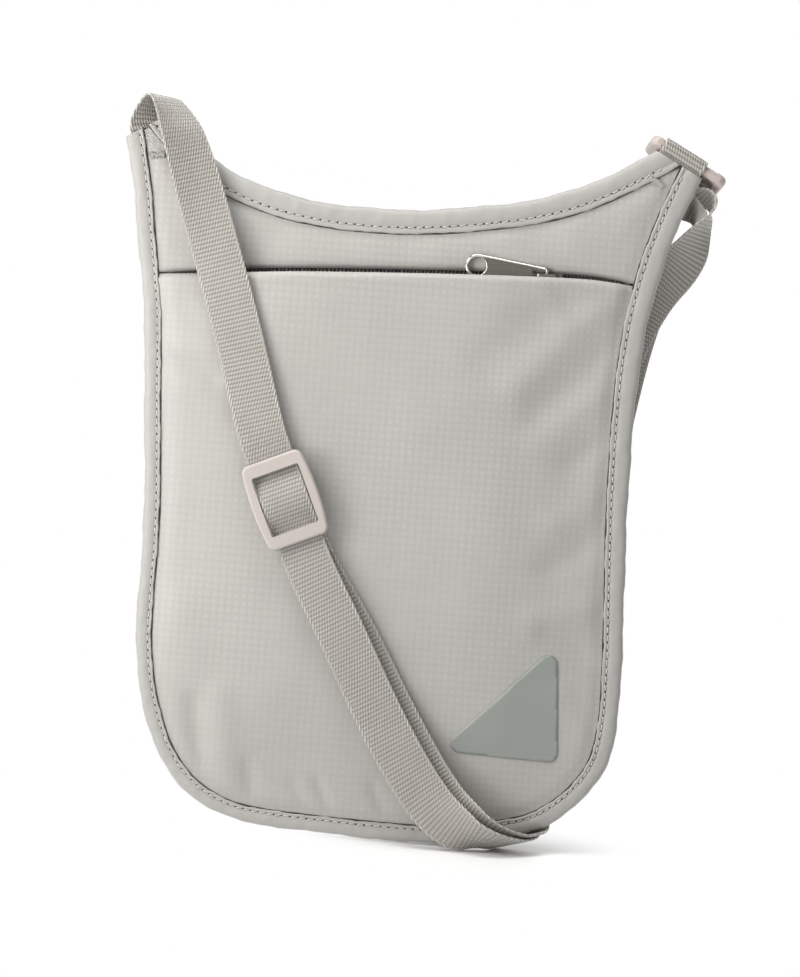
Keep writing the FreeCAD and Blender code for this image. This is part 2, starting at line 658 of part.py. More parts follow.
# ---------------------------------------------------------------- everything
def sub_parts():
    made = panels()
    made.update(bindings())
    made.update(triangular_patch())
    made.update(zip_tapes_and_coils())
    made.update(zip_stops())
    made["zipper_slider"] = slider_body()
    made["zipper_puller"] = puller()
    made["ring_keeper"] = keeper()
    made["corner_ring"] = ring()
    made["strap_adjuster"] = adjuster()
    made.update(strap())
    return made


os.makedirs("parts", exist_ok=True)
for node, shape in sub_parts().items():
    if not shape.isValid():
        print(f"{node}: not valid")
    print(f"{node}: {len(shape.Solids)} solids, {shape.Volume:.1f} mm3")
    shape.exportStep(f"parts/{node}.step")
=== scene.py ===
import math
import random

import bpy
import numpy as np
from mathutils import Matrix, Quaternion, Vector


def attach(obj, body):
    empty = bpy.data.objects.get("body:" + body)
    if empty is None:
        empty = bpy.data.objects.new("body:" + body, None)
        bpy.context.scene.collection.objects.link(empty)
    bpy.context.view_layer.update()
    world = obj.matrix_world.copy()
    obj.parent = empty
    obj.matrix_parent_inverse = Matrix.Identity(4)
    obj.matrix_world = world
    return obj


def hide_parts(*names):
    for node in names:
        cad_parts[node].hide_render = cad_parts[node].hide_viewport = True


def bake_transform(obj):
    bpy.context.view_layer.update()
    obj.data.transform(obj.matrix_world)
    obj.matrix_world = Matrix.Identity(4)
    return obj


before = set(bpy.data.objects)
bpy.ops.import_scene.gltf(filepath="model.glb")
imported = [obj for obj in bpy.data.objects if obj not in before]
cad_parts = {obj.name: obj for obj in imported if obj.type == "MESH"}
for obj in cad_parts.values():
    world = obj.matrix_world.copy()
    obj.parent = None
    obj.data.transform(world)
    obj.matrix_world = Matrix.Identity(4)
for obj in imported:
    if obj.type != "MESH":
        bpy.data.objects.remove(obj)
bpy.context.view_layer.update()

# Lengths are in millimetres, and are scaled to metres where meshes are made. Shaders, lights and
# the camera are in metres.
MM = 0.001

# ---- sizes shared with the CAD part
SIDE_LINE = [
    (-94.2, 223.4), (-90.8, 208), (-88.0, 190), (-84.6, 168), (-82.9, 145), (-81.2, 122),
    (-79.8, 90), (-79.1, 54), (-75.5, 37.5), (-65.5, 17.2), (-48.4, 5.2), (-28, 1.9), (-5, 0.8),
    (18, 0.35), (32, 1.3), (44, 3.7), (56.2, 7.6), (68.2, 16.5), (75.4, 26), (79.1, 39),
    (79.8, 56), (78.2, 98), (77.5, 143), (79.0, 170), (82.4, 190), (86.6, 205), (93.5, 223.2),
]
NECK_LINE = [
    (-80.2, 231.9), (-71, 223.0), (-55.2, 213.4), (-39, 208.6), (-18, 206.4), (6, 207.2),
    (25, 209.9), (42, 213.6), (58, 219.8), (78.0, 231.4),
]
PATCH = [(57.9, 69.0), (21.6, 31.5), (60.8, 30.0)]
PATCH_R = 3.0
FRONT_Y = -1.225
BACK_Y = 3.925
MIDDLE_Y = 1.35
ZIP_Z = 185.3
ZIP_TILT = math.radians(3.3)
ZIP_ENDS = (-76.0, 71.0)
WEB_W = 15.5
SEWN_DEPTH = 9.0


def vec(x, y, z):
    return np.array([x, y, z], float)


def unit(v):
    """A vector, or each row of an array, made 1 long."""
    return v / np.linalg.norm(v, axis=-1, keepdims=True)


# ---- lines and outlines
def lengths_along(line):
    """How far along a line each of its points is."""
    return np.concatenate([[0], np.cumsum(np.linalg.norm(np.diff(line, axis=0), axis=1))])


def resampled(line, along, at):
    """The line's values at new distances along it. along holds those of its own points."""
    return np.stack([np.interp(at, along, line[:, k]) for k in range(line.shape[1])], axis=1)


def even(line, step):
    """The line again, with its points evenly spaced about step apart."""
    along = lengths_along(line)
    return resampled(line, along, np.linspace(0, along[-1], max(2, round(along[-1] / step) + 1)))


def cubic_line(points, step):
    """Points about step apart on the natural cubic spline through the given ones."""
    p = np.array(points, float)
    t = lengths_along(p)
    chord = np.diff(t)
    n = len(p)
    a = np.eye(n)
    b = np.zeros_like(p)
    for i in range(1, n - 1):
        h0, h1 = chord[i - 1], chord[i]
        a[i, i - 1:i + 2] = h0, 2 * (h0 + h1), h1
        b[i] = 6 * ((p[i + 1] - p[i]) / h1 - (p[i] - p[i - 1]) / h0)
    m = np.linalg.solve(a, b)
    at = np.linspace(0, t[-1], int(t[-1] / step) * 4)
    k = np.clip(np.searchsorted(t, at, side="right") - 1, 0, n - 2)
    h = chord[k][:, None]
    u = (at - t[k])[:, None]
    v = h - u
    dense = (
        m[k] * v**3 / (6 * h) + m[k + 1] * u**3 / (6 * h)
        + (p[k] / h - m[k] * h / 6) * v + (p[k + 1] / h - m[k + 1] * h / 6) * u
    )
    return even(dense, step)


def nearest_on(points, line):
    """The nearest point of a line to each (x, z) point."""
    best = np.full(len(points), np.inf)
    found = np.array(points, float)
    for a, b in zip(line, line[1:]):
        d = b - a
        t = np.clip(((points - a) @ d) / max(d @ d, 1e-12), 0, 1)
        at = a + t[:, None] * d
        away = np.linalg.norm(points - at, axis=1)
        found[away < best] = at[away < best]
        best = np.minimum(best, away)
    return found


def distances(points, line):
    """How far each (x, z) point is from a line."""
    return np.linalg.norm(points - nearest_on(points, line), axis=1)


def inside(points, loop):
    """Whether each (x, z) point is inside a closed loop of points."""
    odd = np.zeros(len(points), bool)
    for a, b in zip(loop, np.roll(loop, -1, axis=0)):
        if a[1] == b[1]:
            continue
        spans = (a[1] > points[:, 1]) != (b[1] > points[:, 1])
        crossing = a[0] + (points[:, 1] - a[1]) * (b[0] - a[0]) / (b[1] - a[1])
        odd ^= spans & (points[:, 0] < crossing)
    return odd


def normals(line):
    """The unit direction to the left at each point of a line."""
    t = unit(np.gradient(line, axis=0))
    return np.stack([-t[:, 1], t[:, 0]], axis=1)


def inset(line, distance):
    """The line moved to its left by distance."""
    return line + normals(line) * distance


def smoothstep(low, high, x):
    t = np.clip((x - low) / (high - low), 0, 1)
    return t * t * (3 - 2 * t)


def wobble(s, seed, waves):
    """A smooth pseudo-random function of s: a sum of sines, with (wavelength, height) pairs."""
    rng = random.Random(seed)
    total = np.zeros_like(np.asarray(s, float))
    for length, height in waves:
        total = total + height * np.sin(2 * math.pi * s / length + rng.uniform(0, 6.28))
    return total


LINE_STEP = 0.68
SIDE = cubic_line(SIDE_LINE, LINE_STEP)
NECK = cubic_line(NECK_LINE, LINE_STEP)
# How wide the side binding looks in front, from the left corner round the bottom to the right one.
BINDING_W = 8.0
SIDE_SHARES = (0.0, 0.1, 0.25, 0.40, 0.5, 0.6, 0.75, 0.9, 1.0)
SIDE_WIDTHS = (5.9, 5.7, 5.1, 5.4, 5.7, 6.1, 6.7, 7.6, 7.8)
SIDE_W = np.interp(np.linspace(0, 1, len(SIDE)), SIDE_SHARES, SIDE_WIDTHS)
ZIP_LIP = cubic_line([
    (-84, 179.6), (-72, 180.4), (-60, 181.4), (-48, 182.6), (-25, 184.3), (0, 185.7),
    (20, 186.7), (46, 187.7), (60, 187.9), (72, 187.1), (84, 186.0),
], 1.0)


def lip_z(x):
    """How high the lower panel's top edge is at x."""
    return np.interp(x, ZIP_LIP[:, 0], ZIP_LIP[:, 1])


def gap_width(x):
    """How wide the slot over the zip is at x."""
    return 1.5 - 0.9 * smoothstep(58, 82, np.abs(x))


def upper_edge(x):
    """How low the upper panel's bottom edge is at x. It clears the zip slider's bail."""
    clear = ZIP_Z + x * math.tan(ZIP_TILT) + 1.0
    return np.maximum(lip_z(x) + gap_width(x), clear - 4 * smoothstep(50, 82, np.abs(x)))


# ---- the cloth's relief
# Ridges (height above 0) and valleys: x, z of both ends, width, height.
FOLDS = [
    (24, 165, 30, 85, 24.0, 0.9), (-50, 150, -46, 60, 28.0, 1.3), (-62, 150, -58, 70, 16.0, 0.7),
    (-59, 42, -55, 15, 3.6, -1.1), (-51, 44, -46, 15, 5.0, 0.8), (-66, 74, -60, 46, 6.0, 0.5),
    (-69, 30, -62, 22, 3.0, 0.5), (63, 178, 38, 152, 5.5, 0.9), (71, 167, 46, 144, 5.5, -0.9),
    (50, 180, 28, 160, 7.0, -0.8), (72, 156, 48, 134, 6.0, 0.6), (69, 66, 54, 72, 4.2, -0.7),
    (71, 82, 50, 76, 5.5, 0.8), (70, 104, 54, 94, 5.0, -0.8), (70, 119, 54, 108, 5.5, 0.7),
    (70, 136, 58, 128, 4.0, -0.6), (-12, 8, -17, 18, 1.8, -0.6), (-20, 9, -25, 17, 2.0, -0.5),
    (6, 8, 1, 18, 2.2, -0.5), (20, 8, 17, 15, 2.0, -0.4), (-38, 12, -40, 22, 2.6, -0.6),
    (-77, 153, -60, 147, 2.4, -0.8), (-76, 158, -58, 156, 3.0, 0.6), (-75, 145, -58, 137, 4.0, 0.5),
    (-30, 178, 8, 140, 12.0, 0.7), (-8, 122, 22, 96, 13.0, -0.5), (-45, 84, -18, 52, 13.0, 0.6),
    (60, 52, 68, 40, 4.0, 0.4), (44, 186, 52, 172, 4.0, 0.5), (-70, 176, -62, 166, 4.0, 0.4),
]
UPPER_FOLDS = [
    (-52, 204, -60, 190, 4.0, 0.35), (-40, 200, -50, 187, 4.5, -0.3), (-72, 208, -66, 190, 4.0, 0.3),
    (28, 203, 40, 192, 5.0, 0.35), (62, 212, 70, 198, 5.0, -0.3), (50, 208, 56, 196, 5.0, 0.25),
    (0, 199, 12, 190, 5.0, 0.2),
]
BACK_FOLDS = [
    (-60, 190, -30, 150, 9.0, 0.7), (-20, 120, 20, 70, 14.0, 0.6), (40, 180, 62, 140, 7.0, -0.6),
    (-70, 90, -52, 70, 5.0, -0.6), (60, 90, 40, 60, 7.0, 0.6), (-30, 40, 0, 20, 7.0, -0.5),
    (10, 196, 30, 170, 8.0, 0.5), (-66, 150, -50, 140, 4.0, -0.5), (66, 120, 52, 112, 4.0, -0.5),
]


def folds(points, table):
    """The height that the table's ridges and valleys add at each point."""
    total = np.zeros(len(points))
    for x0, z0, x1, z1, width, height in table:
        a, b = np.array([x0, z0]), np.array([x1, z1])
        d = b - a
        t = ((points - a) @ d) / (d @ d)
        off = np.linalg.norm(points - a - np.clip(t, 0, 1)[:, None] * d, axis=1)
        total += height * np.exp(-(off / width) ** 2)
    return total


def undulation(points, seed, size, height):
    """Soft unevenness with no direction: crossed sines of slightly different lengths."""
    rng = random.Random(seed)
    total = np.zeros(len(points))
    for _ in range(7):
        angle = rng.uniform(0, math.pi)
        length = size * rng.uniform(0.7, 1.5)
        along = points @ np.array([math.cos(angle), math.sin(angle)])
        total += np.sin(2 * math.pi * along / length + rng.uniform(0, 6.28))
    return total * height / 3


def clear_of_binding(points):
    """Each point's distance from the side line, as if the binding were equally wide all along it."""
    gaps = np.linalg.norm(points[:, None, :] - SIDE[None, ::3, :], axis=2)
    return distances(points, SIDE) + BINDING_W - SIDE_W[::3][gaps.argmin(axis=1)]


def lower_front(points):
    """y of the lower front panel's face at each (x, z) point."""
    d = clear_of_binding(points)
    below_lip = lip_z(points[:, 0]) - points[:, 1]
    rise = smoothstep(5.0, 14.0, d)
    crown = 0.75 * smoothstep(8.4, 12.5, d) + 2.6 * smoothstep(9.0, 55.0, d) - 0.55
    lip = 2.2 * np.exp(-np.maximum(below_lip, 0) / 20.0) * rise
    lip += 0.7 * np.exp(-((points[:, 0] - 45) / 16) ** 2) * np.exp(-np.maximum(below_lip, 0) / 14.0)
    relief = folds(points, FOLDS) + undulation(points, 3, 34, 0.16) + undulation(points, 5, 13, 0.05)
    near = smoothstep(0.0, 12.0, below_lip) * 0.7 + 0.3
    return FRONT_Y - crown - lip - relief * smoothstep(6.5, 16.0, d) * near


def upper_front(points):
    d = np.minimum(clear_of_binding(points), distances(points, NECK))
    relief = folds(points, UPPER_FOLDS) + undulation(points, 8, 24, 0.14)
    near_zip = np.exp(-np.maximum(points[:, 1] - upper_edge(points[:, 0]), 0) / 4.0)
    crown = 0.6 * smoothstep(8.4, 12.0, d) + 0.7 * smoothstep(9.0, 20.0, d) - 0.55
    return FRONT_Y - crown * (1 - 0.6 * near_zip) - relief * smoothstep(7.5, 13.0, d)


def back_face(points):
    d = np.minimum(distances(points, SIDE), distances(points, NECK))
    relief = folds(points, BACK_FOLDS) + undulation(points, 12, 40, 0.3)
    crown = 0.6 * smoothstep(8.4, 12.5, d) + 1.3 * smoothstep(9.0, 40.0, d) - 0.5
    return BACK_Y + crown + relief * smoothstep(7.5, 18.0, d)


# ---- meshes
def on_pouch(obj, node=None):
    """Fixes a piece to the pouch. node is the CAD node that it stands for, if any."""
    if node is not None:
        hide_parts(node)
    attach(obj, "pouch")


def mesh_object(name, points, faces, material, smooth=True):
    """An object from points in millimetres. Its origin is the frame's."""
    mesh = bpy.data.meshes.new(name)
    mesh.from_pydata([tuple(p) for p in np.asarray(points, float) * MM], [], faces)
    mesh.validate()
    if smooth:
        mesh.shade_smooth()
    obj = bpy.data.objects.new(name, mesh)
    bpy.context.scene.collection.objects.link(obj)
    mesh.materials.append(material)
    return obj


def grid_faces(rows, columns, close_rows=False, close_columns=False):
    faces = []
    for i in range(rows if close_rows else rows - 1):
        for j in range(columns if close_columns else columns - 1):
            a, b = i * columns + j, i * columns + (j + 1) % columns
            c, d = (i + 1) % rows * columns + (j + 1) % columns, (i + 1) % rows * columns + j
            faces.append((a, b, c, d))
    return faces


def cloth_piece(name, loop, rows_at, step, height, thickness, material):
    """A piece of cloth cut to loop. rows_at(x) is z of one row of its grid, height gives y."""
    xs = np.arange(loop[:, 0].min() - step, loop[:, 0].max() + 2 * step, step)
    depth = loop[:, 1].max() - loop[:, 1].min()
    drops = np.arange(-depth * 0.3, depth * 1.2, step)
    flat = np.array([(x, rows_at(x) - drop) for drop in drops for x in xs])
    faces = grid_faces(len(drops), len(xs))
    kept = inside(np.array([(flat[f[0]] + flat[f[2]]) / 2 for f in faces]), loop)
    faces = [f for f, k in zip(faces, kept) if k]
    used = sorted({i for f in faces for i in f})
    number = {old: new for new, old in enumerate(used)}
    faces = [tuple(number[i] for i in f) for f in faces]
    flat = flat[used]
    edges = {}
    for f in faces:
        for a, b in zip(f, f[1:] + f[:1]):
            key = (min(a, b), max(a, b))
            edges[key] = edges.get(key, 0) + 1
    rim = sorted({i for key, count in edges.items() if count == 1 for i in key})
    closed = np.concatenate([loop, loop[:1]])
    flat[rim] = nearest_on(flat[rim], closed)
    points = np.stack([flat[:, 0], height(flat), flat[:, 1]], axis=1)
    obj = mesh_object(name, points, faces, material)
    thick = obj.modifiers.new("thickness", "SOLIDIFY")
    thick.thickness = thickness * MM
    thick.offset = 0
    return obj


def capped(rings, sides):
    """The faces of a closed tube: rings of points, and a cap on each end."""
    faces = grid_faces(rings, sides, close_columns=True)
    faces.append(tuple(range(sides - 1, -1, -1)))
    faces.append(tuple((rings - 1) * sides + i for i in range(sides)))
    return faces


def tube(name, sections, material):
    """A closed tube through sections, an array of rings of points."""
    return mesh_object(name, sections.reshape(-1, 3), capped(*sections.shape[:2]), material)


def joined(name, shapes, faces_of_one, material):
    """One object made of many copies of a small closed shape, each given as its points."""
    points, faces = [], []
    for shape in shapes:
        first = len(points)
        points.extend(shape)
        faces += [tuple(first + i for i in f) for f in faces_of_one]
    return mesh_object(name, points, faces, material)


# ---- materials
class Shader:
    """A Principled material with helpers that add nodes to it."""

    def __init__(self, name, roughness, metallic=0.0, sheen=0.0, specular=0.5):
        self.material = bpy.data.materials.new(name)
        self.material.use_nodes = True
        self.tree = self.material.node_tree
        self.bsdf = next(n for n in self.tree.nodes if n.type == "BSDF_PRINCIPLED")
        settings = {
            "Roughness": roughness, "Metallic": metallic, "Sheen Weight": sheen,
            "Sheen Roughness": 0.4, "Specular IOR Level": specular,
        }
        for socket, value in settings.items():
            self.bsdf.inputs[socket].default_value = value

    def node(self, kind, **values):
        made = self.tree.nodes.new(kind)
        for key, value in values.items():
            setattr(made, key, value)
        return made

    def link(self, source, target):
        self.tree.links.new(source, target)

    def math(self, operation, *values):
        made = self.node("ShaderNodeMath", operation=operation)
        for socket, value in zip(made.inputs, values):
            if isinstance(value, (int, float)):
                socket.default_value = value
            else:
                self.link(value, socket)
        return made.outputs[0]

    def axes(self):
        """x, y and z in metres."""
        where = self.node("ShaderNodeTexCoord").outputs["Object"]
        split = self.node("ShaderNodeSeparateXYZ")
        self.link(where, split.inputs[0])
        return where, split.outputs

    def wave(self, coordinate, pitch):
        """0 to 1 and back along a coordinate, once each pitch, in metres."""
        turned = self.math("MULTIPLY", coordinate, 2 * math.pi / pitch)
        return self.math("MULTIPLY_ADD", self.math("SINE", turned), 0.5, 0.5)

    def noise(self, where, scale, detail=2.0):
        made = self.node("ShaderNodeTexNoise")
        made.inputs["Scale"].default_value = scale
        made.inputs["Detail"].default_value = detail
        self.link(where, made.inputs["Vector"])
        return made.outputs["Fac"]

    def between(self, factor, first, second):
        """A colour between two colours or sockets, as factor goes from 0 to 1."""
        mix = self.node("ShaderNodeMix", data_type="RGBA")
        for socket, value in zip(mix.inputs[6:8], (first, second)):
            if isinstance(value, tuple):
                socket.default_value = (*value, 1)
            else:
                self.link(value, socket)
        self.link(factor, mix.inputs[0])
        return mix.outputs[2]

    def mottled(self, base, scale, low, high, detail=3):
        """The base colour, shaded unevenly between low and high times itself."""
        spots = self.noise(self.axes()[0], scale, detail)
        return self.between(spots, shade(base, low), shade(base, high))

    def colour(self, socket):
        self.link(socket, self.bsdf.inputs["Base Color"])

    def bump(self, height, distance):
        """Adds relief, distance metres high, over any that the shader has already."""
        made = self.node("ShaderNodeBump")
        made.inputs["Distance"].default_value = distance
        self.link(height, made.inputs["Height"])
        slot = self.bsdf.inputs["Normal"]
        if slot.links:
            self.link(slot.links[0].from_socket, made.inputs["Normal"])
        self.link(made.outputs["Normal"], slot)

    def rough(self, scale, low, high):
        """Uneven roughness, between low and high."""
        spread = self.math("MULTIPLY_ADD", self.noise(self.axes()[0], scale), high - low, low)
        self.link(spread, self.bsdf.inputs["Roughness"])

    def checked(self, pitch):
        """0 to 1 in a square pattern along x and z."""
        _, axes = self.axes()
        return self.math("MULTIPLY", self.wave(axes[0], pitch), self.wave(axes[2], pitch))

    def weave(self, pitch, depth):
        """A plain weave of threads along x and z."""
        self.bump(self.checked(pitch), depth)
        self.bump(self.noise(self.axes()[0], 900), depth * 1.5)


def shade(colour, by):
    return tuple(c * by for c in colour)


def pouch_cloth():
    """Satin ripstop: a square check, clearer in some places, on a fine weave."""
    made = Shader("pouch_fabric", 0.5, sheen=0.25, specular=0.35)
    where, _ = made.axes()
    base = (0.392, 0.380, 0.356)
    check = made.checked(0.0024)
    squares = made.math("SMOOTH_MIN", check, 0.55, 0.5)
    clearer = made.math("MULTIPLY", made.noise(where, 18, 1), 1.5)
    shown = made.math("MULTIPLY", squares, clearer)
    tone = made.mottled(base, 24, 0.955, 1.045)
    dotted = made.mottled(base, 24, 1.10, 1.22)
    made.colour(made.between(shown, tone, dotted))
    made.weave(0.00042, 0.00002)
    made.bump(check, 0.00005)
    made.rough(60, 0.44, 0.58)
    return made.material


def plain_cloth(name, base, roughness, sheen, pitch=0.00045):
    made = Shader(name, roughness, sheen=sheen, specular=0.35)
    made.colour(made.mottled(base, 40, 0.94, 1.06, 4))
    made.weave(pitch, 0.00002)
    made.rough(80, roughness - 0.06, roughness + 0.08)
    return made.material


RIB_PITCH = 0.00136


def webbing_cloth():
    """Ribs across the webbing with slanting floats, and brighter twisted selvages: painted shade in the
    rib gaps, painted highlight on the ribs and floats, painted light and shade along the selvage twists.
    """
    made = Shader("webbing", 0.5, sheen=0.35, specular=0.45)
    uv = made.node("ShaderNodeUVMap", uv_map="run")
    split = made.node("ShaderNodeSeparateXYZ")
    made.link(uv.outputs[0], split.inputs[0])
    across, along = split.outputs[0], split.outputs[1]
    where, _ = made.axes()
    ribs = made.wave(along, RIB_PITCH)
    slant = made.math("ADD", across, made.math("MULTIPLY", along, 0.45))
    floats = made.wave(slant, 0.00095)
    base = (0.385, 0.364, 0.330)
    # Painted shade in the gaps between the ribs, and a painted highlight on their tops, raised further on
    # the floats.
    painted_rib_gap_shade = made.mottled(base, 60, 0.46, 0.60)
    high = made.mottled(base, 90, 1.08, 1.26)
    raised = made.math("MULTIPLY_ADD", floats, 0.35, 0.65)
    ridge = made.math("POWER", made.math("MAXIMUM", ribs, 0.0), 0.6)
    body = made.between(made.math("MULTIPLY", ridge, raised), painted_rib_gap_shade, high)
    edge = made.math("GREATER_THAN", made.math("ABSOLUTE", across), 0.0069)
    # The selvages are painted lighter and darker along their twists, as light and shade.
    painted_selvage_twist_shading = made.between(made.wave(slant, 0.0009), shade(base, 0.7), shade(base, 1.3))
    made.colour(made.between(edge, body, painted_selvage_twist_shading))
    made.bump(floats, 0.00013)
    made.bump(made.noise(where, 1500), 0.00004)
    made.rough(200, 0.42, 0.6)
    return made.material


def moulded(name, base, roughness):
    """Matt moulded plastic with a fine spark-eroded grain."""
    made = Shader(name, roughness, specular=0.45)
    where, _ = made.axes()
    made.colour(made.mottled(base, 50, 0.95, 1.05))
    made.bump(made.noise(where, 2400), 0.000012)
    made.rough(300, roughness - 0.05, roughness + 0.08)
    return made.material


def nickel(name, base, roughness):
    """Plated die casting: satin, with faint polishing streaks."""
    made = Shader(name, roughness, metallic=1.0)
    where, _ = made.axes()
    stretched = made.node("ShaderNodeMapping")
    stretched.inputs["Scale"].default_value = (40, 400, 900)
    made.link(where, stretched.inputs[0])
    streaks = made.noise(stretched.outputs[0], 1.0, 3)
    made.colour(made.between(streaks, shade(base, 0.85), shade(base, 1.2)))
    made.rough(350, roughness - 0.08, roughness + 0.12)
    made.bump(streaks, 0.00001)
    return made.material


def patch_film():
    """A heat-pressed film: smooth, satin and slightly uneven."""
    made = Shader("patch_film", 0.42)
    base = (0.262, 0.278, 0.254)
    made.colour(made.mottled(base, 70, 0.95, 1.05))
    made.weave(0.0006, 0.000008)
    made.rough(120, 0.36, 0.48)
    return made.material


def thread_fibre(name, base):
    """Twisted sewing thread, painted darker between its plies and lighter on them as shade and light."""
    made = Shader(name, 0.5, sheen=0.4)
    _, axes = made.axes()
    slant = made.math("ADD", made.math("ADD", axes[0], axes[2]), axes[1])
    plies = made.wave(slant, 0.00035)
    # Painted shade between the plies and painted light on them.
    made.colour(made.between(plies, shade(base, 0.8), shade(base, 1.15)))
    made.bump(plies, 0.00005)
    return made.material


CLOTH = pouch_cloth()
BINDING = plain_cloth("binding_tape", (0.385, 0.374, 0.352), 0.5, 0.25)
LINING = plain_cloth("lining_fabric", (0.46, 0.45, 0.42), 0.6, 0.15, 0.0006)
TAPE = plain_cloth("zipper_tape", (0.16, 0.15, 0.14), 0.7, 0.1, 0.0007)
WEBBING = webbing_cloth()
RING_PLASTIC = moulded("ring_plastic", (0.47, 0.405, 0.375), 0.42)
ADJUSTER_PLASTIC = moulded("adjuster_plastic", (0.46, 0.415, 0.385), 0.38)
NICKEL = nickel("nickel", (0.26, 0.245, 0.215), 0.30)
# A much lighter, glossier nickel for the puller's raised rims: a painted highlight.
PAINTED_HIGHLIGHT_NICKEL = nickel("painted_highlight_nickel", (0.80, 0.77, 0.70), 0.20)
FILM = patch_film()
THREAD = thread_fibre("thread", (0.56, 0.54, 0.50))
# Near-black cloth that paints shade: in the needle holes and in the slits along the bindings.
PAINTED_SHADE = plain_cloth("painted_shade_black", (0.05, 0.048, 0.045), 0.8, 0.0)
TACK_THREAD = thread_fibre("tack_thread", (0.40, 0.41, 0.37))
COIL = moulded("zipper_coil", (0.36, 0.35, 0.33), 0.3)


# ---- camera, light and floor
def camera():
    """Almost level, 0.89 m away, and turned 4.2 degrees about its own axis."""
    aim = Vector((0.00293, 0.0, 0.11585))
    distance, elevation, roll = 0.8857, math.radians(2.0), math.radians(4.18)
    back = Vector((0, -math.cos(elevation), math.sin(elevation)))
    data = bpy.data.cameras.new("camera")
    data.lens = 100
    data.sensor_width = 36
    obj = bpy.data.objects.new("camera", data)
    bpy.context.scene.collection.objects.link(obj)
    obj.location = aim + back * distance
    obj.rotation_mode = "QUATERNION"
    obj.rotation_quaternion = Quaternion(back, roll) @ (-back).to_track_quat("-Z", "Y")
    bpy.context.scene.camera = obj


def area_light(name, place, aim, size, power, colour=(1, 1, 1)):
    """A rectangular light at place, turned towards aim."""
    data = bpy.data.lights.new(name, "AREA")
    data.shape = "RECTANGLE"
    data.size, data.size_y = size
    data.energy = power
    data.color = colour
    obj = bpy.data.objects.new(name, data)
    bpy.context.scene.collection.objects.link(obj)
    obj.location = place
    obj.rotation_euler = (Vector(aim) - Vector(place)).to_track_quat("-Z", "Y").to_euler()


def studio():
    area_light("key", (-0.38, -0.36, 0.46), (-0.03, 0, 0.14), (0.26, 0.26), 1.8, (1.0, 0.99, 0.97))
    area_light("side", (-0.34, -0.24, 0.12), (-0.02, 0, 0.11), (0.16, 0.26), 1.1, (1.0, 0.995, 0.98))
    area_light("fill", (-0.2, -1.1, 0.30), (0, 0, 0.10), (0.8, 0.8), 0.4, (0.97, 0.985, 1.0))
    area_light("top", (-0.05, -0.12, 0.8), (0, 0, 0.2), (0.5, 0.4), 4.2)
    area_light("rear", (0.35, 0.9, 0.5), (0, 0, 0.12), (0.7, 0.6), 7.0)
    world = bpy.data.worlds.new("world")
    bpy.context.scene.world = world
    world.use_nodes = True
    tree = world.node_tree
    seen = next(n for n in tree.nodes if n.type == "BACKGROUND")
    output = next(n for n in tree.nodes if n.type == "OUTPUT_WORLD")
    shining = tree.nodes.new("ShaderNodeBackground")
    mix = tree.nodes.new("ShaderNodeMixShader")
    path = tree.nodes.new("ShaderNodeLightPath")
    seen.inputs["Color"].default_value = (1, 1, 1, 1)
    shining.inputs["Color"].default_value = (0.97, 0.98, 1, 1)
    shining.inputs["Strength"].default_value = 0.14
    tree.links.new(path.outputs["Is Camera Ray"], mix.inputs[0])
    tree.links.new(shining.outputs[0], mix.inputs[1])
    tree.links.new(seen.outputs[0], mix.inputs[2])
    tree.links.new(mix.outputs[0], output.inputs[0])
    bpy.context.scene.view_settings.view_transform = "Standard"


def floor():
    """A pale floor that fades into the white surroundings away from the object."""
    points, faces, rings, spokes = [(0, 0, 0)], [], 14, 64
    for r in range(1, rings + 1):
        radius = 60 * 1.42 ** r
        for k in range(spokes):
            angle = 2 * math.pi * k / spokes
            points.append((radius * math.cos(angle), radius * math.sin(angle), 0))
    for k in range(spokes):
        faces.append((0, 1 + k, 1 + (k + 1) % spokes))
        for r in range(rings - 1):
            a, b = 1 + r * spokes + k, 1 + r * spokes + (k + 1) % spokes
            faces.append((a, a + spokes, b + spokes, b))
    made = Shader("floor", 0.7, specular=0.2)
    where, _ = made.axes()
    made.colour(made.between(made.noise(where, 30), (0.86, 0.86, 0.855), (0.88, 0.88, 0.875)))
    length = made.node("ShaderNodeVectorMath", operation="DISTANCE")
    length.inputs[1].default_value = (0.034, 0.0, 0.0)
    made.link(where, length.inputs[0])
    fade = made.node("ShaderNodeMapRange", interpolation_type="SMOOTHSTEP")
    fade.inputs["From Min"].default_value = 0.01
    fade.inputs["From Max"].default_value = 0.062
    made.link(length.outputs["Value"], fade.inputs["Value"])
    glow = made.node("ShaderNodeEmission")
    glow.inputs["Color"].default_value = (1, 1, 1, 1)
    mix = made.node("ShaderNodeMixShader")
    output = next(n for n in made.tree.nodes if n.type == "OUTPUT_MATERIAL")
    made.link(fade.outputs[0], mix.inputs[0])
    made.link(made.bsdf.outputs[0], mix.inputs[1])
    made.link(glow.outputs[0], mix.inputs[2])
    made.link(mix.outputs[0], output.inputs[0])
    obj = mesh_object("floor", points, faces, made.material, smooth=False)


camera()
studio()
floor()


# ---- the strap's route
ADJUSTER_AT = vec(-33.8, -10.0, 109.8)
TILT = math.radians(24.0)
ALONG = vec(math.sin(TILT), 0, -math.cos(TILT))
ACROSS = vec(math.cos(TILT), 0, math.sin(TILT))
BACKWARD = vec(0, 1, 0)


def at_adjuster(u, y, w=0.0):
    return ADJUSTER_AT + ALONG * u + BACKWARD * y + ACROSS * w


def corner_frame(first, second):
    """The middle of a corner's edge between the layers, its direction, and outward from it."""
    a, b = vec(first[0], 0, first[1]), vec(second[0], 0, second[1])
    along = unit(b - a)
    return (a + b) / 2 + BACKWARD * 1.175, along, vec(-along[2], 0, along[0])


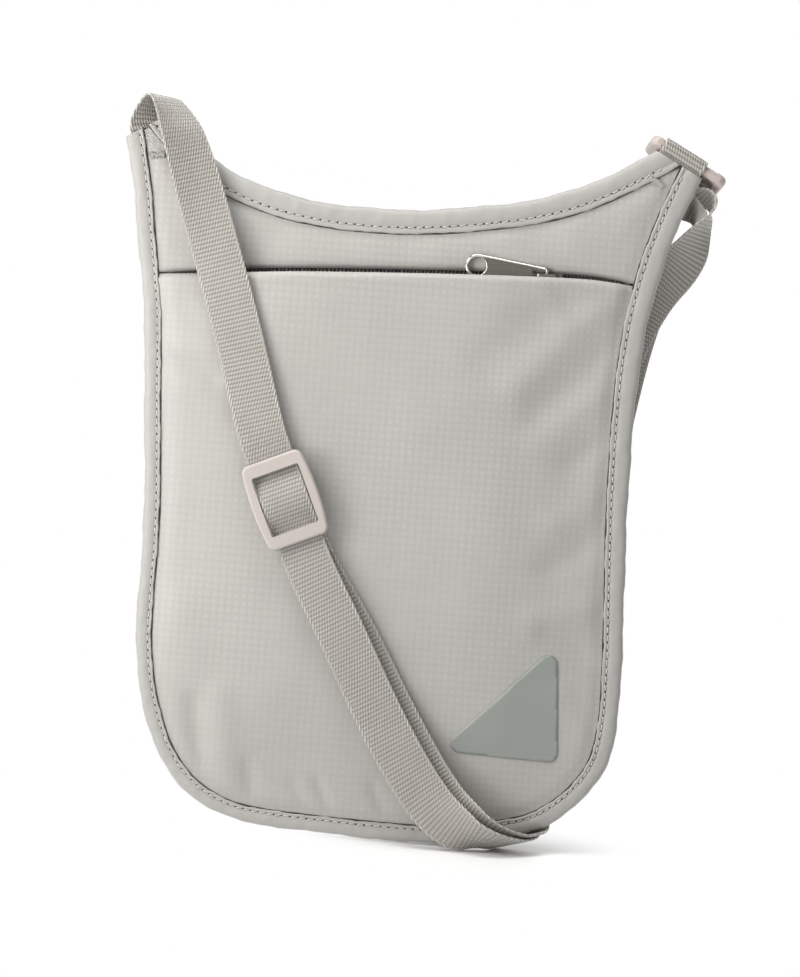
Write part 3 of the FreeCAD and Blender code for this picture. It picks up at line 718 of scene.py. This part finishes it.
LEFT_MIDDLE, LEFT_ALONG, LEFT_UP = corner_frame(SIDE_LINE[0], NECK_LINE[0])
RIGHT_MIDDLE, RING_ALONG, RING_UP = corner_frame(NECK_LINE[-1], SIDE_LINE[-1])
RING_OFF, RING_SHIFT, RING_REACH = 2.9, 2.0, 9.4
DROOP = math.radians(14.0)
RING_AT = RIGHT_MIDDLE + RING_UP * RING_OFF + RING_ALONG * RING_SHIFT
RING_BACK = BACKWARD * math.cos(DROOP) - RING_UP * math.sin(DROOP)


def at_far_bar(back, up):
    return RING_AT + RING_BACK * RING_REACH + RING_ALONG * RING_SHIFT + BACKWARD * back + RING_UP * up


def via(x, y, z, *width):
    """A point of the route, and the direction in which the webbing's width lies there."""
    return vec(x, y, z), vec(*width)


FROM_CORNER = [
    (LEFT_MIDDLE - LEFT_UP * SEWN_DEPTH, LEFT_ALONG),
    via(-85.8, 1.2, 226.0, 0.93, 0.15, -0.10),
    via(-86.0, 0.2, 231.5, 0.72, 0.68, -0.10),
    via(-83.2, -2.2, 238.6, 0.46, 0.88, 0.00),
    via(-78.6, -4.8, 232.2, 0.66, 0.74, 0.08),
    via(-74.2, -8.0, 223.4, 0.80, 0.50, 0.33),
    via(-63.8, -7.2, 194.0, 0.94, 0.0, 0.33),
    via(-52.6, -7.6, 162.0, 0.945, 0.0, 0.33),
    (at_adjuster(-24, 1.2), ACROSS),
]
IN_ADJUSTER = [
    (at_adjuster(u, y), ACROSS)
    for u, y in ((-14, 1.65), (-8.8, 1.5), (-3.2, -1.15), (3.2, -1.15), (8.8, 1.5), (14, 1.65))
]
OUTER_LAYER = [
    (at_adjuster(24, 0.9), ACROSS),
    via(-12.5, -9.6, 68.0, 0.90, 0.0, 0.44),
    via(3.0, -9.8, 39.0, 0.86, 0.0, 0.50),
    via(18.7, -11.6, 15.6, 0.76, 0.0, 0.65),
    via(29.5, -13.4, 7.0, 0.72, -0.35, 0.58),
    via(38.5, -12.2, 4.8, 0.70, -0.60, 0.30),
    via(45.5, -7.5, 3.0, 0.85, -0.45, 0.28),
    via(49.3, -0.5, 2.9, 0.94, -0.12, 0.31),
    via(50.0, 6.5, 3.4, 0.95, 0.0, 0.30),
    via(50.8, 13.2, 9.5, 0.97, 0.0, 0.20),
    via(54.0, 16.0, 30.0, 0.98, 0.0, -0.05),
    via(58.5, 18.0, 60.0, 0.98, 0.05, -0.12),
    via(64.0, 20.0, 92.0, 0.97, 0.10, -0.16),
    via(68.8, 21.5, 124.0, 0.96, 0.12, -0.18),
    via(73.0, 23.0, 152.0, 0.95, 0.16, -0.18),
    via(77.2, 24.5, 173.0, 0.92, 0.22, -0.25),
    via(84.0, 25.5, 192.0, 0.80, 0.55, -0.25),
    via(94.0, 24.0, 204.0, 0.30, 0.95, -0.10),
    via(97.2, 22.0, 213.0, 0.30, 0.94, -0.15),
]
ROUND_RING = [
    (at_far_bar(back, up), RING_ALONG)
    for back, up in ((2.5, -4.5), (2.5, 2.5), (-2.5, 2.5), (-2.5, -3.5))
]
INNER_LAYER = [
    via(96.0, 9.0, 219.5, 0.50, -0.85, -0.20),
    via(99.0, 8.0, 214.6, 0.02, -1.0, 0.05),
    via(95.2, 9.5, 207.0, -0.45, -0.88, 0.18),
    via(91.0, 12.0, 196.5, -0.80, -0.35, 0.50),
    via(80.0, 13.5, 183.5, -0.78, -0.20, 0.58),
    via(69.5, 13.2, 158.0, -0.93, -0.10, 0.30),
    via(63.5, 12.5, 124.0, -0.97, -0.10, 0.20),
    via(58.6, 12.0, 88.0, -0.98, 0.0, 0.15),
    via(55.5, 11.2, 54.0, -0.99, 0.0, 0.08),
    via(53.4, 10.4, 27.0, -0.99, 0.0, -0.05),
    via(52.8, 9.2, 10.8, -0.97, 0.0, -0.20),
    via(52.4, 5.4, 5.15, -0.95, 0.0, -0.30),
    via(51.7, -0.8, 4.75, -0.94, 0.12, -0.31),
    via(46.8, -6.6, 4.5, -0.85, 0.45, -0.28),
    via(39.8, -10.2, 6.3, -0.70, 0.60, -0.36),
    via(31.5, -11.2, 9.6, -0.74, 0.32, -0.58),
    via(22.5, -8.8, 17.0, -0.77, 0.0, -0.64),
    via(7.6, -6.6, 39.2, -0.86, 0.0, -0.50),
    via(-9.0, -6.2, 68.2, -0.90, 0.0, -0.44),
]
ROUND_BAR = [
    (at_adjuster(u, y, w), -ACROSS)
    for u, y, w in (
        (26, 3.95, 1.6), (9, 3.7, 0), (2.5, 2.95, 0), (-2.65, 2.95, 0),
        (-2.65, -0.12, 0), (3.4, 0.0, 0), (9.2, 2.72, 0), (22, 2.9, 1.3),
    )
]
ROUTE_PARTS = [FROM_CORNER, IN_ADJUSTER, OUTER_LAYER, ROUND_RING, INNER_LAYER, ROUND_BAR]
ROUTE = [step for part in ROUTE_PARTS for step in part]
FIRST = [sum(len(part) for part in ROUTE_PARTS[:n]) for n in range(len(ROUTE_PARTS))]
SPLINE_STEPS = 24


def spline_points(control):
    """The points, in metres, of the smooth NURBS line that control points give."""
    data = bpy.data.curves.new("line", "CURVE")
    data.dimensions = "3D"
    data.resolution_u = SPLINE_STEPS
    spline = data.splines.new("NURBS")
    spline.points.add(len(control) - 1)
    for point, at in zip(spline.points, control):
        point.co = (*(np.asarray(at) * MM), 1)
    spline.order_u = 3
    spline.use_endpoint_u = True
    holder = bpy.data.objects.new("line", data)
    mesh = bpy.data.meshes.new_from_object(holder)
    line = np.array([v.co for v in mesh.vertices], float).reshape(-1, 3)
    bpy.data.meshes.remove(mesh)
    bpy.data.objects.remove(holder)
    bpy.data.curves.remove(data)
    return line


def ribbon_line(route):
    """Centre points and width directions along a route, both read from NURBS splines."""
    centre = spline_points([p for p, _ in route])
    edge = spline_points([p + unit(w) * 5 for p, w in route])
    return centre, edge - centre


def strap_between(start, end):
    """The strap's line between the middles of two runs of its route."""
    centre, width = STRAP_LINE
    low, high = (round(run / (len(ROUTE) - 2) * (len(centre) - 1)) for run in (start, end))
    return centre[low:high + 1], width[low:high + 1]


SELVAGE = 0.9
RIB_STEPS = 5
COLUMNS = (-1.0, -0.985, -0.93, -0.89, -0.8, -0.55, -0.25, 0.0, 0.25, 0.55, 0.8, 0.89, 0.93, 0.985, 1.0)


def webbing(name, line, offset=0.0):
    """Ribbed webbing along a ribbon line, its path, and how long it is. offset is where its ribs begin."""
    centre, width = line
    along = lengths_along(centre)
    step = RIB_PITCH / RIB_STEPS
    at = np.linspace(0, along[-1], max(4, round(along[-1] / step) + 1))
    c = resampled(centre, along, at)
    w = resampled(width, along, at)
    t = np.gradient(c, axis=0)
    kernel = np.ones(9) / 9
    padded = np.pad(t, ((4, 4), (0, 0)), mode="edge")
    t = np.stack([np.convolve(padded[:, k], kernel, mode="valid") for k in range(3)], axis=1)
    t = unit(t)
    w = unit(w - t * (w * t).sum(1)[:, None])
    n = np.cross(t, w)
    u = np.array(COLUMNS)
    v = at + offset
    rib = np.abs(np.cos(math.pi * v / RIB_PITCH)) ** 0.7
    twist = 0.5 + 0.5 * np.sin(2 * math.pi * v / (RIB_PITCH * 0.72))
    half_w = WEB_W * MM / 2
    edge = np.abs(u) > SELVAGE
    thick = np.where(edge[None, :], 0.30 + 0.12 * twist[:, None], 0.29 + 0.13 * rib[:, None])
    taper = np.where(np.abs(u) > 0.99, 0.25, np.where(np.abs(u) > 0.95, 0.8, 1.0))
    dip = np.where((np.abs(u) > 0.88) & (np.abs(u) < 0.9), 0.75, 1.0)
    thick = thick * taper * dip * MM
    reach = half_w * (1 + 0.008 * (twist[:, None] - 0.5) * (np.abs(u) > 0.95))
    flat = c[:, None, :] + w[:, None, :] * (u * reach)[:, :, None]
    top = flat + n[:, None, :] * thick[:, :, None]
    bottom = flat - n[:, None, :] * thick[:, :, None]
    ring = np.concatenate([top, bottom[:, ::-1, :]], axis=1)
    obj = tube(name, ring / MM, WEBBING)
    around = 2 * len(u)
    layer = obj.data.uv_layers.new(name="run")
    us = np.concatenate([u, u[::-1]]) * half_w
    index = np.zeros(len(obj.data.loops), np.int32)
    obj.data.loops.foreach_get("vertex_index", index)
    pairs = np.stack([us[index % around], v[index // around]], axis=1)
    layer.data.foreach_set("uv", pairs.astype(np.float32).ravel())
    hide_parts(name.replace("_webbing", ""))
    return obj, even(c, 0.001), along[-1]


STRAP_LINE = ribbon_line(ROUTE)
BEHIND = FIRST[2] + 10
BELOW = FIRST[4] + 9
# name: first and last run, the body or bodies, the real length in metres (none for a short stretch).
STRETCHES = [
    ("strap_upper", 0, FIRST[1] - 1, ("pouch", "adjuster"), 0.142),
    ("strap_over_bar", FIRST[1] - 1, FIRST[2] - 1, ("adjuster",), None),
    ("strap_front", FIRST[2] - 1, BEHIND, ("adjuster", "pouch"), 0.180),
    ("strap_back", BEHIND, FIRST[3] - 1, ("pouch", "ring"), 0.180),
    ("strap_round_ring", FIRST[3] - 1, FIRST[4] - 1, ("ring",), None),
    ("return_back", FIRST[4] - 1, BELOW, ("ring", "pouch"), 0.210),
    ("return_front", BELOW, FIRST[5] - 1, ("pouch", "adjuster"), 0.128),
    ("strap_sewn_end", FIRST[5] - 1, len(ROUTE) - 2, ("adjuster",), None),
]


def strap():
    run = 0.0
    for name, start, end, bodies, length in STRETCHES:
        obj, path, measured = webbing(name + "_webbing", strap_between(start, end), run)
        run += measured
        if len(bodies) == 1:
            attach(obj, bodies[0])
            continue
        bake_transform(obj)


def keeper():
    around = 2.5
    top = RING_OFF + around
    path = [
        (-SEWN_DEPTH, -0.6), (0.2, -0.75), (1.9, -around), (top, -around), (top, around),
        (1.9, around), (0.2, 0.75), (-SEWN_DEPTH, 0.6),
    ]
    route = [(RIGHT_MIDDLE + RING_UP * out + BACKWARD * y, RING_ALONG) for out, y in path]
    obj, _, _ = webbing("ring_keeper_webbing", ribbon_line(route))
    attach(obj, "pouch")


strap()
keeper()


# ---- bindings
SECTION_W, SECTION_GROOVE = 8.08, 6.0
STITCH_PITCH = 2.72
END_GAP = 3.0
# The folded tape's section: inset from the edge, and y before or behind the pouch's middle.
FRONT_SECTION = [
    (7.6, 1.7), (8.0, 2.2), (8.08, 2.75), (7.9, 3.0), (7.4, 3.06), (6.8, 3.02), (6.35, 2.9), (6.0, 2.78),
    (5.65, 2.86), (5.1, 3.0), (4.3, 3.09), (3.3, 3.1), (2.3, 3.0), (1.4, 2.8), (0.65, 2.35), (0.15, 1.4),
]


def binding(name, line, sign, ends, node, seed, front_w, groove):
    """A tape folded over the edge. sign is 1 where the pouch is to the line's left.

    ends are the directions of the pouch's two corner edges, away from the line's own end.
    front_w is how wide its front half is along the line, groove the stitched groove's share of it.
    """
    normal = normals(line) * sign
    s = lengths_along(line)
    cross = normal.copy()
    for end, direction in zip((0, -1), ends):
        target = direction / (direction @ normal[end])
        near = 1 - smoothstep(0.0, 9.0, np.abs(s - s[end]))
        cross = cross * (1 - near)[:, None] + target * near[:, None]
    section = [(i, y, -1) for i, y in FRONT_SECTION] + [(i, y, 1) for i, y in FRONT_SECTION[::-1]]
    pull = 0.5 + 0.5 * np.cos(2 * math.pi * s / STITCH_PITCH)
    wide = {-1: front_w, 1: np.full(len(s), BINDING_W)}
    rings = []
    for i, half, side in section:
        puff = np.full(len(s), half)
        band = math.exp(-((i - 3.4) / 2.0) ** 2)
        waves = [(9.1, 0.07), (5.3, 0.05), (23.0, 0.10), (3.4, 0.03)]
        puff = puff + band * wobble(s, seed + (side > 0) * 7, waves)
        seam = math.exp(-((i - SECTION_GROOVE) / 0.55) ** 2)
        puff = puff - seam * 0.16 * pull
        edge = 1 - min(i / 4.0, 1.0)
        sewn = wide[side] * groove
        rest = (i - SECTION_GROOVE) / (SECTION_W - SECTION_GROOVE) * (wide[side] - sewn)
        out = i / SECTION_GROOVE * sewn if i < SECTION_GROOVE else sewn + rest
        out = out + edge * wobble(s, seed + 3, [(31.0, 0.16), (12.7, 0.10), (5.9, 0.05)])
        if i > 6.5:
            out = out + wobble(s, seed + 5, [(7.7, 0.08), (4.1, 0.06), (19.0, 0.12)])
        where = line + cross * out[:, None]
        y = MIDDLE_Y + side * puff
        rings.append(np.stack([where[:, 0], y, where[:, 1]], axis=1))
    obj = tube(name, np.stack(rings, axis=1), BINDING)
    on_pouch(obj, node)
    # A near-black cord along each inner edge paints the seam's shadow.
    painted_seam_shadow(name + "_painted_seam_shadow", line, cross, s, seed, wide)
    stitches(name + "_stitches", line, cross, s, {side: w * groove for side, w in wide.items()})


def painted_seam_shadow(name, line, cross, s, seed, wide):
    """The dark slit between a binding's inner edge and the panels, in front and behind: a thin near-black
    cord of painted shadow.
    """
    for side, word in ((-1, "front"), (1, "back")):
        middle = line + cross * (wide[side] + 0.12)[:, None]
        half_w = 0.19 + wobble(s, seed + 11, [(17.0, 0.05), (6.1, 0.04), (41.0, 0.05)])
        rings = []
        for a in np.linspace(0, 2 * math.pi, 6, endpoint=False):
            flat = middle + cross * (np.maximum(half_w, 0.07) * math.cos(a))[:, None]
            y = np.full(len(s), MIDDLE_Y + side * (2.40 + 0.3 * math.sin(a)))
            rings.append(np.stack([flat[:, 0], y, flat[:, 1]], axis=1))
        obj = tube(name + "_" + word, np.stack(rings, axis=1), PAINTED_SHADE)
        on_pouch(obj)


# Rings of a stitch: share of its half length, share of its radius, and how many diameters it sinks.
STITCH_RINGS = (
    (-1, 0.35, 0.9), (-0.8, 0.85, 0.25), (-0.3, 1, 0), (0.3, 1, 0), (0.8, 0.85, 0.25), (1, 0.35, 0.9),
)
THREAD_SIDES = 6


def stitch(length, radius):
    """A stitch along x, sinking at both ends, as points in rings."""
    points = []
    for share, size, sink in STITCH_RINGS:
        for k in range(THREAD_SIDES):
            angle = 2 * math.pi * k / THREAD_SIDES
            y = radius * size * math.cos(angle) + sink * radius * 2
            points.append((share * length / 2, y, radius * size * math.sin(angle)))
    return np.array(points)


STITCH_FACES = capped(len(STITCH_RINGS), THREAD_SIDES)


def at_along(line, s, at):
    """The line's value at one distance along it. s holds those of its own points."""
    return np.array([np.interp(at, s, line[:, k]) for k in range(2)])


def stitches(name, line, cross, s, sewn):
    """Rows of stitches in front and behind, in the binding's groove. sewn is its inset along the line."""
    rng = random.Random(name)
    shape = stitch(2.15, 0.24)
    seams = {side: line + cross * inset_by[:, None] for side, inset_by in sewn.items()}
    threads = []
    for side, seam in seams.items():
        at = END_GAP
        while at < s[-1] - END_GAP:
            ahead = unit(at_along(seam, s, at + 0.5) - at_along(seam, s, at - 0.5))
            tilt = rng.uniform(-0.12, 0.12) + 0.10
            ahead = np.array([ahead[0] - ahead[1] * tilt, ahead[1] + ahead[0] * tilt])
            beside = np.array([-ahead[1], ahead[0]])
            middle = at_along(seam, s, at) + at_along(cross, s, at) * rng.uniform(-0.12, 0.12)
            flat = middle + shape[:, :1] * ahead + shape[:, 2:] * beside
            y = MIDDLE_Y + side * (2.95 - shape[:, 1])
            threads.append(np.stack([flat[:, 0], y, flat[:, 1]], axis=1))
            at += STITCH_PITCH
    obj = joined(name, threads, STITCH_FACES, THREAD)
    on_pouch(obj)
    # Near-black discs between the stitches paint the needle holes' shade.
    holes = []
    for side, seam in seams.items():
        for at in np.arange(END_GAP - STITCH_PITCH / 2, s[-1] - END_GAP, STITCH_PITCH):
            x, z = at_along(seam, s, at)
            holes.append([
                (x + r * math.cos(a), MIDDLE_Y + side * (2.66 + out), z + r * math.sin(a))
                for out, r in ((0, 0.252), (0.14, 0.42), (0.22, 0.21))
                for a in np.linspace(0, 2 * math.pi, THREAD_SIDES, endpoint=False)
            ])
    obj = joined(name.replace("stitches", "needle_hole_painted_shades"), holes, capped(3, THREAD_SIDES), PAINTED_SHADE)
    on_pouch(obj)


def direction(a, b):
    return unit(np.array(b, float) - np.array(a, float))


left_edge = direction(SIDE_LINE[0], NECK_LINE[0])
right_edge = direction(SIDE_LINE[-1], NECK_LINE[-1])
neck_w = np.full(len(NECK), BINDING_W)
binding("side_binding_tape", SIDE, 1, (left_edge, right_edge), "side_binding", 21, SIDE_W, 0.80)
binding("neckline_binding_tape", NECK, -1, (-left_edge, -right_edge), "neckline_binding", 33, neck_w, 0.75)


# ---- panels
HEM = 3.0
SIDE_HEM = inset(SIDE, HEM)
NECK_HEM = inset(NECK, -HEM)


def lower_loop():
    kept = SIDE_HEM[SIDE_HEM[:, 1] < lip_z(SIDE_HEM[:, 0])]
    xs = np.arange(kept[-1, 0], kept[0, 0], -1.0)
    top = np.stack([xs, lip_z(xs)], axis=1)
    return np.concatenate([kept, top[1:]])


def upper_loop():
    above = SIDE_HEM[:, 1] > upper_edge(SIDE_HEM[:, 0])
    half = len(SIDE_HEM) // 2
    left, right = SIDE_HEM[:half][above[:half]], SIDE_HEM[half:][above[half:]]
    xs = np.arange(left[-1, 0], right[0, 0], 1.0)
    bottom = np.stack([xs, upper_edge(xs)], axis=1)
    return np.concatenate([left, bottom[1:], right, NECK_HEM[::-1]])


def rolled(height, edge_z, up, radius=0.8):
    """The height function with its edge by the zip rolled back over a fold."""
    def result(points):
        off = np.abs(points[:, 1] - edge_z(points[:, 0]))
        t = 1 - np.clip(off / radius, 0, 1)
        return height(points) + radius * (1 - np.sqrt(np.maximum(1 - t * t, 0))) * up
    return result


def panel(node, loop, rows_at, height, step):
    obj = cloth_piece(node + "_cloth", loop, rows_at, step, height, 0.5, CLOTH)
    on_pouch(obj, node)


def level(z):
    """Grid rows that run straight across."""
    return lambda x: z


def upper_rows(x):
    return upper_edge(x) + 45


def panels():
    back_loop = np.concatenate([SIDE_HEM, NECK_HEM[::-1]])
    panel("front_panel_lower", lower_loop(), lip_z, rolled(lower_front, lip_z, 1.0), 1.3)
    panel("front_panel_upper", upper_loop(), upper_rows, rolled(upper_front, upper_edge, 0.6), 1.3)
    panel("back_panel", back_loop, level(232.0), back_face, 2.0)


def rounded_triangle(corners, radius):
    """The triangle's outline with rounded corners."""
    loop = []
    for i, corner in enumerate(corners):
        c = np.array(corner, float)
        before, after = np.array(corners[i - 1], float), np.array(corners[(i + 1) % 3], float)
        a, b = unit(before - c), unit(after - c)
        half = math.acos(np.clip(a @ b, -1, 1)) / 2
        middle = c + unit(a + b) * radius / math.sin(half)
        start, end = c + a * radius / math.tan(half), c + b * radius / math.tan(half)
        for t in np.linspace(0, 1, 14):
            spoke = unit((start - middle) * (1 - t) + (end - middle) * t)
            loop.append(middle + spoke * radius)
    return np.array(loop)


def patch_face(points):
    return lower_front(points) - 0.42


def patch():
    loop = rounded_triangle(PATCH, PATCH_R)
    loop = even(np.concatenate([loop, loop[:1]]), 0.5)[:-1]
    obj = cloth_piece("triangular_patch_film", loop, level(68.0), 0.8, patch_face, 0.3, FILM)
    on_pouch(obj, "triangular_patch")


panels()
patch()


# ---- hardware and zip
CARRIED_OVER = {
    "corner_ring": RING_PLASTIC, "strap_adjuster": ADJUSTER_PLASTIC, "zipper_slider": NICKEL,
    "zipper_bottom_stop": NICKEL, "zipper_top_stops": NICKEL, "zipper_tape_upper": TAPE,
    "zipper_tape_lower": TAPE, "front_lining": LINING, "back_lining": LINING, "zipper_puller": NICKEL,
}


def paint():
    """Gives each CAD node that stays in view its material."""
    for node, material in CARRIED_OVER.items():
        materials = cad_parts[node].data.materials
        materials.clear()
        materials.append(material)


def tilted(x, y, z, angle):
    c, r = math.cos(angle), math.sin(angle)
    return vec(x * c - z * r, y, x * r + z * c)


def at_zip(x, y, z):
    """A point given along the zip, backward and across it."""
    return vec(0, 0, ZIP_Z) + tilted(x, y, z, ZIP_TILT)


TOOTH_PITCH = 1.25
TOOTH_R = 0.42
TOOTH_Z = (0.08, 1.72)
COIL_Y = 0.925
SIDES = 8


def coils():
    """Each coil as the row of loops that its monofilament makes."""
    along = np.arange(ZIP_ENDS[0] + 0.5, ZIP_ENDS[1] - 0.4, TOOTH_PITCH)
    profile = ((0, 0.45), (0.10, 0.85), (0.25, 1.1), (0.45, 1.0), (0.8, 0.92), (1, 0.6))
    for name, sign, shift in (("upper", 1, 0), ("lower", -1, TOOTH_PITCH / 2)):
        shapes = []
        for x in along + shift:
            shape = []
            for share, size in profile:
                z = sign * (TOOTH_Z[0] + share * (TOOTH_Z[1] - TOOTH_Z[0]))
                for k in range(SIDES):
                    angle = 2 * math.pi * k / SIDES
                    lean = 0.35 * share
                    shape.append(at_zip(
                        x + lean + TOOTH_R * size * math.cos(angle),
                        COIL_Y + 1.35 * TOOTH_R * size * math.sin(angle), z,
                    ))
            shapes.append(shape)
        obj = joined("zipper_coil_" + name + "_loops", shapes, capped(len(profile), SIDES), COIL)
        on_pouch(obj, "zipper_coil_" + name)


PIVOT = vec(45.5, -2.625, 187.924)
PULLER_SLOPE = math.radians(4.7)
EYE_AT, END_R, EYE_R, NECK_HALF, PULLER_HALF_T = -22.9, 3.9, 2.9, 2.8, 0.6


def at_puller(x, y, z):
    return PIVOT + tilted(x, y, z, -PULLER_SLOPE)


def bead(name, loop, radius, y):
    """A closed raised bead along a loop of points in the puller's plane, in the much lighter nickel of a
    painted highlight.
    """
    n = len(loop)
    ahead = unit(np.roll(loop, -1, axis=0) - np.roll(loop, 1, axis=0))
    beside = np.stack([-ahead[:, 1], ahead[:, 0]], axis=1)
    points = []
    for i in range(n):
        for k in range(SIDES):
            angle = 2 * math.pi * k / SIDES
            flat = loop[i] + beside[i] * radius * math.cos(angle)
            points.append(at_puller(flat[0], y + radius * math.sin(angle), flat[1]))
    obj = mesh_object(name, points, grid_faces(n, SIDES, True, True), PAINTED_HIGHLIGHT_NICKEL)
    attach(obj, "puller")


def puller_relief():
    """The casting's raised rim, round the outside and round the eye, on both faces."""
    inset_by = 0.38
    slope = math.atan2(END_R - NECK_HALF, -EYE_AT)
    round_end = [
        (EYE_AT + (END_R - inset_by) * math.cos(a), (END_R - inset_by) * math.sin(a))
        for a in np.linspace(math.pi / 2 - slope, 1.5 * math.pi + slope, 40)
    ]
    narrow = [(-0.35, -(NECK_HALF - inset_by)), (-0.35, NECK_HALF - inset_by)]
    outline = np.array(round_end + narrow + round_end[:1])
    eye = np.array([
        (EYE_AT + (EYE_R + 0.3) * math.cos(a), (EYE_R + 0.3) * math.sin(a))
        for a in np.linspace(0, 2 * math.pi, 48, endpoint=False)
    ])
    for side, y in (("front", -PULLER_HALF_T), ("back", PULLER_HALF_T)):
        bead("puller_rim_" + side, even(outline, 0.5)[:-1], 0.34, y * 0.9)
        bead("puller_eye_rim_" + side, eye, 0.26, y * 0.95)


def bar_tack(name, centre, along, length, width, y):
    """A dense row of parallel stitches."""
    rng = random.Random(name)
    centre, along = np.array(centre, float), unit(np.array(along, float))
    beside = np.array([-along[1], along[0]])
    shape = stitch(width, 0.26)
    threads = []
    for at in np.arange(-length / 2, length / 2 + 0.01, 0.46):
        tilt = rng.uniform(-0.2, 0.2)
        ahead = beside * math.cos(tilt) + along * math.sin(tilt)
        across = np.array([-ahead[1], ahead[0]])
        middle = centre + along * at + beside * rng.uniform(-0.15, 0.15)
        flat = middle + shape[:, :1] * ahead + shape[:, 2:] * across
        threads.append(np.stack([flat[:, 0], y + shape[:, 1], flat[:, 1]], axis=1))
    obj = joined(name, threads, STITCH_FACES, TACK_THREAD)
    on_pouch(obj)


paint()
coils()
puller_relief()
for behind, tack_y in (("", -1.95), ("_behind", 4.6)):
    bar_tack("left_bar_tack" + behind, (-83.6, 218.2), (1.0, 0.10), 4.6, 2.2, tack_y)
    bar_tack("right_bar_tack" + behind, (78.8, 221.2), (0.86, -0.52), 4.8, 1.8, tack_y)
